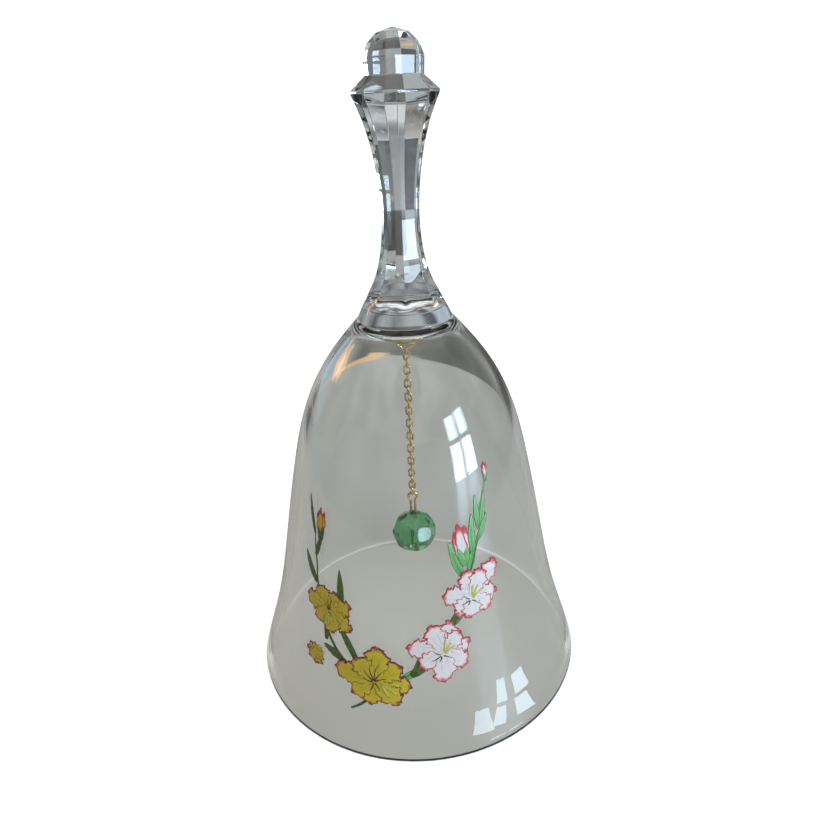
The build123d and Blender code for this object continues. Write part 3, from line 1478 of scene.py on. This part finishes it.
class EnamelLayer:
    """One colour of enamel: thin raised patches laid on the cup."""

    def __init__(self, tone: Tone, cup: BlownCup, scale: float, aside: float) -> None:
        """Start an empty layer.

        Args:
            tone: its colour.
            cup: the glass that it is painted on.
            scale: millimetres of sheet for a degree round the cup.
            aside: degrees that the sheet is turned round the cup.
        """
        self.tone = tone
        self.cup = cup
        self.scale = scale
        self.aside = aside
        self.spots: list[tuple[float, float, float]] = []
        self.faces: list[list[int]] = []
        self.shades: list[float] = []

    def lay(self, rows: Sequence[Sequence[Point]], shades: Sequence[Sequence[float]], coat: int) -> None:
        """Lay a grid of paint: its top, its underside and its edge.

        Args:
            rows: rows of places on the unrolled sheet, in millimetres.
            shades: the shade at each place, 0 to 1.
            coat: how many coats are already under it.
        """
        first = len(self.spots)
        down, across = len(rows), len(rows[0])
        size = down * across
        for bare, each in COAT_LIFTS:
            lift = bare + each * coat
            for row, tones in zip(rows, shades):
                for (place, height), shade in zip(row, tones):
                    self.spots.append(self.cup.on_surface(place / self.scale + self.aside, height, lift))
                    self.shades.append(shade)
        for row in range(down - 1):
            for column in range(across - 1):
                start = first + row * across + column
                top = [start, start + 1, start + across + 1, start + across]
                self.faces += [top, [size + corner for corner in reversed(top)]]
        rim = list(range(across)) + [row * across + across - 1 for row in range(1, down)]
        rim += [size - 1 - column for column in range(1, across)]
        rim += [row * across for row in range(down - 2, 0, -1)]
        for here, after in zip(rim, rim[1:] + rim[:1]):
            self.faces.append([first + after, first + here, first + size + here, first + size + after])

    def finish(self) -> bpy.types.Object:
        """Make the piece from its patches and dress it.

        Returns:
            The piece.
        """
        piece = make_mesh(self.tone.value, self.spots, self.faces)
        shade = piece.data.attributes.new("shade", "FLOAT", "POINT")
        shade.data.foreach_set("value", self.shades)
        return fit_out(piece, Body.BELL.value, [PALETTE[self.tone].make()])


@dataclass
class Petal:
    """One petal or leaf on the sheet.

    Attributes:
        root: where it starts.
        angle: degrees that it points, from level to the right.
        length: its length.
        width: its greatest width.
        frill: how far its edge waves.
        waves: waves along each side.
        bend: how far its tip swings aside, as a share of its length.
        belly: where it is widest, as a power; larger is nearer the tip.
        base: width at the root as a share of the greatest.
        point: how pointed its tip is.
        seed: picks its frills.
    """

    root: Point
    angle: float
    length: float
    width: float
    frill: float = 0.0
    waves: float = 3.0
    bend: float = 0.0
    belly: float = 1.5
    base: float = 0.18
    point: float = 0.62
    seed: int = 1

    def half(self, along: float) -> float:
        """Half its width at a share of its length."""
        swell = self.base + (1 - self.base) * along**self.belly
        return self.width / 2 * max(0.0, math.sin(math.pi * min(1.0, swell * 0.995))) ** self.point

    def place(self, along: float, across: float) -> Point:
        """Where a place on the petal is on the sheet.

        Args:
            along: share of its length from the root.
            across: share of its half width, minus one to one.

        Returns:
            The place on the sheet.
        """
        draw = random.Random(self.seed)
        phases = [draw.uniform(0, 2 * math.pi) for _ in range(4)]
        edge = abs(across) ** 5
        wave = math.sin(2 * math.pi * self.waves * along + phases[0 if across > 0 else 1])
        wave += 0.6 * math.sin(2 * math.pi * self.waves * 2.3 * along + phases[2 if across > 0 else 3])
        forward = self.length * along + self.frill * 0.8 * along**6 * math.sin(5 * across + phases[0])
        aside = across * self.half(along)
        aside += math.copysign(1, across) * edge * self.frill * wave * min(1.0, 1.6 * along) * 0.8
        aside += self.bend * self.length * along**2
        turn = math.radians(self.angle)
        return (
            self.root[0] + forward * math.cos(turn) - aside * math.sin(turn),
            self.root[1] + forward * math.sin(turn) + aside * math.cos(turn),
        )

    def edge_line(self, start: float = 0.03, end: float = 0.985, count: int = 44) -> list[Point]:
        """Draw its outline, up one side and down the other.

        Args:
            start: share of its length where the outline starts.
            end: share where it turns back.
            count: points on each side.

        Returns:
            The outline, on the sheet.
        """
        steps = np.linspace(start, end, count)
        up = [self.place(step, -1.0) for step in steps]
        tip = [self.place(end, share) for share in (-0.5, 0.0, 0.5)]
        return up + tip + [self.place(step, 1.0) for step in reversed(steps)]

    def paint(
        self,
        layer: EnamelLayer,
        coat: int,
        blush: float = 1.0,
        deep: float = 0.0,
        rows: int = 30,
        columns: int = 15,
    ) -> None:
        """Lay the petal in one colour, shaded from its heart to its edge.

        Args:
            layer: the enamel to lay it in.
            coat: how many coats are already under it.
            blush: how strongly the edge is coloured.
            deep: shade at the heart.
            rows: rows of paint along it.
            columns: columns across it.
        """
        grid, shades = [], []
        for row in range(rows):
            along = 0.01 + 0.985 * row / (rows - 1)
            line, tones = [], []
            for column in range(columns):
                across = -1 + 2 * column / (columns - 1)
                line.append(self.place(along, across))
                rim = max(abs(across) ** 2.4 * min(1.0, 0.1 + along), max(0.0, (along - 0.6) / 0.4) ** 1.6)
                heart = max(0.0, 1 - along / 0.3)
                tones.append(min(1.0, max(0.0, 0.3 + 0.7 * rim * blush - (0.3 - deep) * heart)))
            grid.append(line)
            shades.append(tones)
        layer.lay(grid, shades, coat)


@dataclass
class Brush:
    """A line brush.

    Attributes:
        start: how wide it is where it is set down.
        end: how wide it is where it lifts.
        swell: how much wider it is in the middle.
        shade: the paint's shade.
    """

    start: float
    end: float
    swell: float = 0.0
    shade: float = 0.5

    def draw(self, layer: EnamelLayer, line: Sequence[Point], coat: int) -> None:
        """Draw one line.

        Args:
            layer: the enamel to draw it in.
            line: its middle, on the sheet.
            coat: how many coats are already under it.
        """
        spots = np.array(line, float)
        heading = np.gradient(spots, axis=0)
        heading /= np.maximum(np.linalg.norm(heading, axis=1), 1e-9)[:, None]
        side = np.stack([-heading[:, 1], heading[:, 0]], axis=1)
        share = np.linspace(0, 1, len(spots))
        half = (self.start + (self.end - self.start) * share + self.swell * np.sin(math.pi * share)) / 2
        rows = [
            [tuple(spot - away * width), tuple(spot), tuple(spot + away * width)]
            for spot, away, width in zip(spots, side, half)
        ]
        layer.lay(rows, [[self.shade, self.shade * 0.8, self.shade] for _ in rows], coat)


@dataclass
class PaintedSprays:
    """The painted decoration: a yellow spray on the left and a blush spray on the right.

    Attributes:
        cup: the glass that it is painted on.
        scale: millimetres of sheet for a degree round the cup.
        aside: degrees that the whole pattern sits to the right of the front.
        coat: coats laid so far in the spray being painted.
        layers: the enamel of each colour.
    """

    cup: BlownCup
    scale: float = 0.628
    aside: float = -2.0
    coat: int = 0
    layers: dict[Tone, EnamelLayer] = field(init=False)

    def __post_init__(self) -> None:
        """Lay out the palette."""
        self.layers = {tone: EnamelLayer(tone, self.cup, self.scale, self.aside) for tone in Tone}

    def at(self, azimuth: float, height: float) -> Point:
        """A place on the sheet from degrees round the cup and height."""
        return (azimuth * self.scale, height)

    def fill(
        self, tone: Tone, petal: Petal, blush: float, deep: float, rows: int = 30, columns: int = 15
    ) -> None:
        """Lay a petal or a leaf over what is already painted."""
        self.coat += 1
        petal.paint(self.layers[tone], self.coat, blush, deep, rows, columns)

    def line(
        self,
        tone: Tone,
        places: Sequence[Point],
        start: float,
        end: float,
        swell: float = 0.0,
        shade: float = 0.5,
    ) -> None:
        """Draw a brush line over what is already painted.

        Args:
            tone: its enamel.
            places: its middle, on the sheet.
            start: width where the brush is set down.
            end: width where it lifts.
            swell: extra width in the middle.
            shade: the paint's shade.
        """
        self.coat += 1
        Brush(start, end, swell, shade).draw(self.layers[tone], places, self.coat)

    def leaf(
        self, tone: Tone, root: Point, tip: Point, width: float, bend: float = 0.08, seed: int = 1
    ) -> None:
        """Paint a leaf with a dark edge and a midrib.

        Args:
            tone: its green.
            root: degrees and height of its root.
            tip: degrees and height of its tip.
            width: its width.
            bend: how far it curves.
            seed: picks its waver.
        """
        start, end = self.at(*root), self.at(*tip)
        length = math.dist(start, end)
        angle = math.degrees(math.atan2(end[1] - start[1], end[0] - start[0])) - 30 * bend
        blade = Petal(start, angle, length, width, 0.06, 2.0, bend, 0.95, 0.12, 0.8, seed)
        self.fill(tone, blade, 0.9, 0.1, 20, 7)
        self.line(Tone.PINE, blade.edge_line(0.02, 0.97, 24), 0.1, 0.08, 0.04, 0.4)
        self.line(Tone.PINE, [blade.place(s, 0.05) for s in np.linspace(0.05, 0.85, 14)], 0.13, 0.03)

    def bloom(
        self, tone: Tone, rim: Tone, centre: Point, petals: Sequence[tuple[float, float, float]], seed: int
    ) -> None:
        """Paint an open bloom.

        Args:
            tone: its petals' enamel.
            rim: its edge lines' enamel.
            centre: degrees and height of its throat.
            petals: (angle, length, width) of each petal, the ones behind first.
            seed: picks its frills.
        """
        heart = self.at(*centre)
        draw = random.Random(seed)
        for number, (angle, length, width) in enumerate(petals):
            petal = Petal(
                heart,
                angle,
                length,
                width,
                frill=draw.uniform(0.42, 0.6),
                waves=draw.uniform(3.2, 4.4),
                bend=draw.uniform(-0.09, 0.09),
                belly=1.9,
                base=0.14,
                point=0.74,
                seed=seed * 10 + number,
            )
            self.fill(tone, petal, 1.0, 0.12)
            self.line(rim, petal.edge_line(0.2, 0.99, 60), 0.06, 0.06, 0.15, 0.8)
            for across in (-0.3, 0.34):
                reach = draw.uniform(0.55, 0.78)
                vein = [petal.place(step, across) for step in np.linspace(0.2, reach, 12)]
                self.line(rim, vein, 0.07, 0.02, 0.0, 0.9)

    def throat(self, tone: Tone, centre: Point, rays: Sequence[tuple[float, float, float]]) -> None:
        """Paint the dark strokes that run out of a bloom's throat.

        Args:
            tone: their enamel.
            centre: degrees and height of the throat.
            rays: (angle, length, width) of each stroke.
        """
        heart = self.at(*centre)
        for angle, length, width in rays:
            turn = math.radians(angle)
            reach = [(0.35, 0.0), (0.5 * length, 0.07 * length), (length, 0.0)]
            places = [
                (
                    heart[0] + out * math.cos(turn) - off * math.sin(turn),
                    heart[1] + out * math.sin(turn) + off * math.cos(turn),
                )
                for out, off in reach
            ]
            self.line(tone, [tuple(spot) for spot in smooth_curve(places, 14)], width, 0.04, 0.04, 0.2)

    def stamens(self, centre: Point, angle: float, length: float, width: float, seed: int) -> None:
        """Paint the stamens, each with a dark side.

        Args:
            centre: degrees and height of the throat.
            angle: degrees that they point.
            length: their length.
            width: width of each at its tip.
            seed: picks their spread.
        """
        heart = self.at(*centre)
        draw = random.Random(seed)
        for spread in (-34, -8, 22):
            turn = math.radians(angle + spread + draw.uniform(-4, 4))
            reach = length * draw.uniform(0.82, 1.05)
            tip = (heart[0] + reach * math.cos(turn), heart[1] + reach * math.sin(turn))
            mid = ((heart[0] + tip[0]) / 2 - 0.16, (heart[1] + tip[1]) / 2 + 0.16)
            line = [tuple(spot) for spot in smooth_curve([heart, mid, tip], 12)]
            self.line(Tone.PINE, [(x + 0.1, z - 0.08) for x, z in line], width * 0.7, width * 0.5, 0.0, 0.2)
            self.line(Tone.STAMEN, line, width * 0.8, width, 0.1, 0.6)

    def bud(self, tone: Tone, rim: Tone, green: Tone, root: Point, tip: Point, width: float, seed: int) -> None:
        """Paint a furled bud in its green cup.

        Args:
            tone: its petals' enamel.
            rim: its lines' enamel.
            green: its cup's enamel.
            root: degrees and height of its root.
            tip: degrees and height of its tip.
            width: its width.
            seed: picks its frills.
        """
        start, end = self.at(*root), self.at(*tip)
        length = math.dist(start, end)
        angle = math.degrees(math.atan2(end[1] - start[1], end[0] - start[0]))
        for number, (lean, share, wide) in enumerate(((9, 0.86, 0.64), (-10, 0.92, 0.62), (1, 1.0, 0.66))):
            petal = Petal(
                start, angle + lean, length * share, width * wide,
                0.2, 2.6, 0.03, 1.3, 0.16, 0.7, seed * 10 + number,
            )
            self.fill(tone, petal, 2.0, 0.5, 20, 9)
            self.line(rim, petal.edge_line(0.05, 0.97, 30), 0.12, 0.12, 0.06, 0.6)
        for lean in (-17, 15):
            sepal = Petal(
                start, angle + lean, length * 0.46, width * 0.42, 0.03, 1.5, 0.0, 0.9, 0.2, 0.8, seed + 5
            )
            self.fill(green, sepal, 0.6, 0.1, 12, 5)
            self.line(Tone.PINE, sepal.edge_line(0.04, 0.96, 16), 0.09, 0.09, 0.0, 0.4)

    def stem(self, tone: Tone, places: Sequence[Point], start: float, end: float) -> None:
        """Paint a stem with a dark underside.

        Args:
            tone: its green.
            places: degrees and heights along it.
            start: width at its foot.
            end: width at its tip.
        """
        line = [tuple(spot) for spot in smooth_curve([self.at(*place) for place in places], 30)]
        self.line(tone, line, start, end, 0.0, 0.45)
        self.line(Tone.PINE, [(x + 0.1, z - 0.14) for x, z in line], start * 0.4, end * 0.35, 0.0, 0.3)

    def paint_left(self) -> None:
        """The yellow spray, from its top leaf to its tail."""
        self.coat = 0
        main = [(-47.2, 54.0), (-46.4, 50.0), (-44.4, 44.6), (-42.2, 38.4), (-38.0, 35.6)]
        self.stem(Tone.OLIVE, main, 0.4, 0.7)
        self.leaf(Tone.OLIVE, (-46.8, 52.5), (-53.4, 61.8), 1.15, -0.06, 3)
        self.leaf(Tone.OLIVE, (-45.6, 47.2), (-43.2, 52.6), 1.5, 0.12, 4)
        self.leaf(Tone.OLIVE, (-43.7, 40.2), (-52.6, 46.8), 1.8, -0.12, 5)
        self.leaf(Tone.OLIVE, (-31.4, 34.4), (-31.6, 46.4), 2.0, 0.1, 6)
        self.bud(Tone.YELLOW, Tone.ROSE, Tone.OLIVE, (-43.4, 51.4), (-44.2, 59.8), 2.9, 7)
        self.leaf(Tone.OLIVE, (-43.6, 50.0), (-42.8, 55.6), 1.1, -0.1, 10)
        self.stem(Tone.OLIVE, [(-38.2, 31.0), (-35.0, 27.4), (-31.0, 24.4), (-25.0, 21.6)], 0.6, 0.8)
        self.leaf(Tone.OLIVE, (-37.0, 26.4), (-37.6, 33.2), 1.4, 0.05, 13)
        self.stem(Tone.OLIVE, [(-31.4, 31.6), (-27.6, 27.6), (-23.4, 24.2), (-18.0, 21.0)], 0.9, 1.0)
        self.leaf(Tone.OLIVE, (-22.6, 23.0), (-31.8, 32.6), 1.6, 0.1, 8)
        self.stem(Tone.OLIVE, [(-24.4, 11.6), (-20.6, 13.4), (-17.0, 16.4)], 0.3, 0.9)
        self.leaf(Tone.OLIVE, (-29.0, 23.0), (-37.8, 25.2), 1.8, 0.05, 9)
        half_open = [(196, 5.0, 3.0), (248, 4.4, 2.6), (222, 5.0, 2.8)]
        self.bloom(Tone.YELLOW, Tone.UMBER, (-38.6, 22.8), half_open, 11)
        first = [
            (64, 5.0, 4.2),
            (20, 6.4, 4.2),
            (130, 6.4, 4.8),
            (178, 7.8, 4.4),
            (332, 7.2, 4.2),
            (226, 5.6, 4.2),
            (284, 6.0, 4.8),
        ]
        self.bloom(Tone.YELLOW, Tone.UMBER, (-36.2, 35.0), first, 21)
        rays = [(100, 3.2, 0.26), (76, 3.4, 0.24), (128, 2.4, 0.22), (262, 2.8, 0.3), (290, 2.2, 0.22)]
        self.throat(Tone.UMBER, (-36.2, 34.6), rays)
        self.stamens((-36.2, 34.0), 282, 2.6, 0.3, 22)
        second = [
            (352, 8.4, 4.4),
            (262, 6.4, 4.6),
            (222, 6.8, 4.4),
            (36, 7.2, 4.8),
            (178, 9.6, 4.8),
            (84, 8.2, 5.6),
            (316, 7.8, 4.8),
            (134, 6.4, 5.0),
        ]
        self.bloom(Tone.YELLOW, Tone.UMBER, (-16.4, 20.4), second, 31)
        rays = [
            (104, 4.6, 0.34),
            (78, 4.8, 0.3),
            (54, 3.8, 0.3),
            (130, 3.8, 0.3),
            (168, 2.6, 0.3),
            (22, 3.0, 0.3),
            (304, 2.6, 0.34),
            (252, 2.4, 0.3),
        ]
        self.throat(Tone.UMBER, (-16.4, 19.8), rays)
        self.stamens((-13.8, 19.6), 336, 4.0, 0.36, 32)

    def paint_right(self) -> None:
        """The blush spray, from its calyx to its top bud."""
        self.coat = 0
        self.stem(Tone.OLIVE, [(-8.6, 20.4), (-2.4, 22.2), (2.8, 25.0), (7.0, 27.6)], 0.4, 1.1)
        self.leaf(Tone.SPRING, (-7.6, 20.6), (3.0, 24.4), 1.7, 0.04, 40)
        self.leaf(Tone.OLIVE, (-3.4, 21.8), (4.4, 25.8), 2.3, 0.06, 41)
        self.leaf(Tone.OLIVE, (-1.6, 22.0), (0.4, 27.0), 1.5, -0.08, 42)
        self.stem(Tone.OLIVE, [(10.4, 32.6), (14.4, 34.8), (19.0, 37.4)], 0.6, 1.0)
        self.leaf(Tone.OLIVE, (12.0, 33.8), (19.6, 38.8), 2.3, 0.08, 43)
        self.leaf(Tone.SPRING, (19.0, 45.4), (13.0, 54.6), 2.1, -0.14, 44)
        self.leaf(Tone.SPRING, (20.6, 45.6), (26.2, 54.2), 1.7, 0.12, 45)
        self.bud(Tone.BLUSH, Tone.ROSE, Tone.SPRING, (20.0, 48.2), (19.0, 58.8), 4.4, 46)
        tall = [(21.0, 45.2), (25.4, 52.0), (28.8, 57.4), (30.0, 61.4), (32.6, 64.4), (35.0, 68.4)]
        self.stem(Tone.SPRING, tall, 0.9, 0.35)
        self.leaf(Tone.SPRING, (24.0, 50.6), (24.4, 60.4), 1.9, -0.12, 47)
        self.leaf(Tone.SPRING, (28.0, 56.0), (27.4, 64.4), 1.6, -0.1, 50)
        self.leaf(Tone.SPRING, (28.6, 56.4), (33.4, 64.6), 1.5, 0.12, 48)
        self.leaf(Tone.SPRING, (26.4, 53.4), (33.0, 59.2), 1.4, 0.1, 49)
        self.bud(Tone.BLUSH, Tone.ROSE, Tone.SPRING, (34.8, 66.6), (35.4, 71.0), 1.4, 51)
        low = [
            (70, 7.4, 4.2),
            (8, 6.4, 4.4),
            (168, 8.4, 4.6),
            (322, 7.0, 4.4),
            (216, 6.6, 4.4),
            (116, 7.2, 4.6),
            (272, 8.0, 5.0),
            (38, 5.8, 4.2),
        ]
        self.bloom(Tone.BLUSH, Tone.ROSE, (8.8, 28.0), low, 61)
        self.throat(
            Tone.PINE, (8.2, 26.8), [(206, 2.8, 0.3), (244, 2.0, 0.34), (330, 2.4, 0.3), (150, 2.2, 0.24)]
        )
        self.stamens((9.2, 27.2), 62, 3.4, 0.34, 62)
        high = [
            (46, 10.0, 4.4),
            (352, 6.8, 4.4),
            (102, 6.4, 4.6),
            (172, 7.4, 4.6),
            (312, 6.2, 4.4),
            (222, 5.8, 4.4),
            (264, 5.6, 4.8),
            (62, 6.6, 4.6),
        ]
        self.bloom(Tone.BLUSH, Tone.ROSE, (21.6, 40.6), high, 71)
        self.throat(
            Tone.PINE, (20.8, 39.6), [(196, 2.6, 0.3), (232, 1.8, 0.34), (320, 2.4, 0.3), (140, 2.4, 0.24)]
        )
        self.stamens((21.8, 40.0), 66, 3.6, 0.36, 72)

    def build(self) -> list[bpy.types.Object]:
        """Paint both sprays.

        Returns:
            One piece for each colour.
        """
        self.paint_left()
        self.paint_right()
        return [layer.finish() for layer in self.layers.values()]


# ---------------------------------------------------------------- studio


@dataclass
class Studio:
    """The floor, the light and the camera.

    Attributes:
        distance: from the bell's axis to the camera, level, in millimetres.
        height: of the camera above the floor.
        dip: degrees that the camera looks down.
        swing: degrees that it looks to the right of the axis.
        roll: degrees that it is turned about its own line of sight.
        round_left: degrees that it stands to the left of the bell's front.
        lens: focal length on a 36 mm wide sensor.
        sky: brightness of the diffuser overhead.
        patches: ((X, Y), (length, width), degrees turned) of the window's light on the table.
        patch_glow: brightness of those patches.
    """

    distance: float = 156.0
    height: float = 147.9
    dip: float = 25.73
    swing: float = 0.47
    roll: float = -2.28
    round_left: float = 2.0
    lens: float = 29.0
    sky: float = 0.5
    patches: tuple[tuple[Point, Point, float], ...] = (
        ((27, -60), (19, 9), -50),
        ((48, -60), (14, 7), -27),
        ((33, -53), (13, 6), -27),
        ((54, -47), (12, 10), -25),
        ((40, -43), (12, 8), -25),
    )
    patch_glow: float = 9.0

    def build_camera(self) -> bpy.types.Object:
        """Set the camera up and make it the scene's.

        Returns:
            The camera.
        """
        dip, roll = math.radians(self.dip), math.radians(self.roll)
        turn = math.radians(self.swing + self.round_left)
        round_left = math.radians(self.round_left)
        ahead = Vector((math.sin(turn) * math.cos(dip), math.cos(turn) * math.cos(dip), -math.sin(dip)))
        right = Vector((ahead.y, -ahead.x, 0.0)).normalized()
        up = right.cross(ahead)
        across = right * math.cos(roll) + up * math.sin(roll)
        upright = up * math.cos(roll) - right * math.sin(roll)
        back = math.cos(round_left) * self.distance
        place = Vector((-math.sin(round_left) * self.distance, -back, self.height)) * MM
        lens = bpy.data.cameras.new("camera")
        lens.sensor_width = 36.0
        lens.lens = self.lens
        lens.clip_start = 0.005
        lens.dof.use_dof = False
        camera = bpy.data.objects.new("camera", lens)
        pose = Matrix((across, upright, -ahead)).transposed().to_4x4()
        camera.matrix_world = Matrix.Translation(place) @ pose
        bpy.context.scene.collection.objects.link(camera)
        bpy.context.scene.camera = camera
        return camera

    def build_floor(self) -> bpy.types.Object:
        """A pale floor that curves up into a low wall all round.

        Returns:
            The floor.
        """
        section = [(0.4, -0.05), (120.0, -0.05), (400.0, -0.05), (900.0, -0.05)]
        for step in range(1, 25):
            turn = math.radians(90 * step / 24)
            section.append((900 + 460 * math.sin(turn), 460 - 460 * math.cos(turn)))
        rings = [
            [
                (
                    radius * math.cos(2 * math.pi * step / 128),
                    radius * math.sin(2 * math.pi * step / 128),
                    height,
                )
                for step in range(128)
            ]
            for radius, height in section
        ]
        floor = stack_rings("studio_floor", rings, high_pole=False)
        floor.data.materials.append(STUDIO_PAPER.make())
        return floor

    def lamp(
        self,
        name: str,
        place: Sequence[float],
        aim: Sequence[float],
        size: Point,
        power: float,
        colour: Colour,
    ) -> bpy.types.Object:
        """Hang a soft box.

        Args:
            name: its name.
            place: where it hangs, in metres.
            aim: where it points, in metres.
            size: its width and height, in metres.
            power: its power, in watts.
            colour: its light's display colour.

        Returns:
            The lamp.
        """
        light = bpy.data.lights.new(name, "AREA")
        light.shape = "RECTANGLE"
        light.size, light.size_y = size
        light.energy = power
        light.color = linear(colour)[:3]
        lamp = bpy.data.objects.new(name, light)
        heading = (Vector(aim) - Vector(place)).normalized()
        lamp.matrix_world = Matrix.Translation(place) @ heading.to_track_quat("-Z", "Y").to_matrix().to_4x4()
        lamp.visible_camera = False
        bpy.context.scene.collection.objects.link(lamp)
        return lamp

    def build_lights(self) -> None:
        """A window of four panes at the right, its light on the table, and a small warm box at the left."""
        middle = (0.0, 0.0, 0.08)
        bearing, rise, far = math.radians(50), math.radians(10), 0.85
        level = math.cos(rise)
        centre = Vector((math.sin(bearing) * level, -math.cos(bearing) * level, math.sin(rise))) * far
        centre += Vector(middle)
        across = Vector((math.cos(bearing), math.sin(bearing), 0.0))
        for column in (-1, 1):
            for row in (-1, 1):
                spot = centre + across * 0.096 * column + Vector((0, 0, 0.118 * row))
                tall, power = (0.177, 1.05) if row > 0 else (0.21, 2.0)
                self.lamp(f"pane_{column + 1}_{row + 1}", spot, middle, (0.148, tall), power, (206, 232, 255))
        warm = self.lamp("warm_box", (-0.85, 0.55, 0.38), middle, (0.24, 0.16), 0.04, (255, 178, 100))
        warm.data.spread = math.radians(50)
        for number, (spot, size, turn) in enumerate(self.patches, start=1):
            place = Vector((*spot, 1.0)) * MM
            power = self.patch_glow * math.pi * size[0] * size[1] * MM * MM
            above = place + Vector((0, 0, 1))
            patch = self.lamp(f"sun_patch_{number}", place, above, Vector(size) * MM, power, (214, 236, 255))
            upward = Matrix.Rotation(math.radians(turn), 4, "Z") @ Matrix.Rotation(math.pi, 4, "X")
            patch.matrix_world = Matrix.Translation(place) @ upward
            patch.visible_transmission = patch.visible_diffuse = False

    def build_world(self) -> None:
        """A dim room round the paper: lighter and darker patches, warm at the left and cool at the right."""
        world = bpy.data.worlds.new("studio")
        world.use_nodes = True
        tree = world.node_tree
        tree.nodes.clear()
        add = tree.nodes.new
        link = tree.links.new
        place = add("ShaderNodeTexCoord")
        split = add("ShaderNodeSeparateXYZ")
        link(place.outputs["Generated"], split.inputs[0])
        patches = add("ShaderNodeTexNoise")
        patches.inputs["Scale"].default_value = 3.4
        patches.inputs["Detail"].default_value = 1.5
        link(place.outputs["Generated"], patches.inputs["Vector"])
        room = add("ShaderNodeValToRGB")
        for element, (spot, level) in zip(room.color_ramp.elements, ((0.4, 0.16), (0.62, 0.8))):
            element.position = spot
            element.color = (level, level, level, 1)
        link(patches.outputs["Fac"], room.inputs["Fac"])
        side = add("ShaderNodeMapRange")
        side.inputs["From Min"].default_value = -1.0
        link(split.outputs["X"], side.inputs["Value"])
        tint = add("ShaderNodeValToRGB")
        stops = ((0.0, (1.0, 0.88, 0.72, 1)), (0.5, (0.96, 0.96, 0.95, 1)), (1.0, (0.86, 0.95, 1.0, 1)))
        tint.color_ramp.elements.new(0.5)
        for element, (spot, colour) in zip(tint.color_ramp.elements, stops):
            element.position = spot
            element.color = colour
        link(side.outputs["Result"], tint.inputs["Fac"])
        walls = add("ShaderNodeVectorMath")
        walls.operation = "MULTIPLY"
        link(room.outputs["Color"], walls.inputs[0])
        link(tint.outputs["Color"], walls.inputs[1])
        overhead = add("ShaderNodeMapRange")
        overhead.interpolation_type = "SMOOTHSTEP"
        for key, value in (("From Min", 0.55), ("From Max", 0.85), ("To Min", 0.0), ("To Max", self.sky)):
            overhead.inputs[key].default_value = value
        link(split.outputs["Z"], overhead.inputs["Value"])
        lit = add("ShaderNodeVectorMath")
        lit.operation = "ADD"
        link(walls.outputs[0], lit.inputs[0])
        link(overhead.outputs["Result"], lit.inputs[1])
        dim, paper, pick = add("ShaderNodeBackground"), add("ShaderNodeBackground"), add("ShaderNodeMixShader")
        paths, out = add("ShaderNodeLightPath"), add("ShaderNodeOutputWorld")
        link(lit.outputs[0], dim.inputs["Color"])
        paper.inputs["Color"].default_value = (1, 1, 1, 1)
        link(paths.outputs["Is Camera Ray"], pick.inputs[0])
        link(dim.outputs[0], pick.inputs[1])
        link(paper.outputs[0], pick.inputs[2])
        link(pick.outputs[0], out.inputs["Surface"])
        bpy.context.scene.world = world

    def build(self) -> None:
        """Set up the whole studio."""
        self.build_camera()
        self.build_floor()
        self.build_lights()
        self.build_world()
        bpy.context.scene.view_settings.view_transform = "Standard"


# ---------------------------------------------------------------- the bell


def main() -> None:
    """Build every sub-assembly in order; the sprays read the cup's sizes."""
    logging.basicConfig(level=logging.INFO, format="%(name)s %(message)s")
    Studio().build()
    cup = BlownCup()
    cup.build()
    PressedHandle().build()
    CrownFittings().build()
    CableChain().build()
    Clapper().build()
    PaintedSprays(cup).build()
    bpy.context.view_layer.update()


if __name__ == "__main__":
    main()
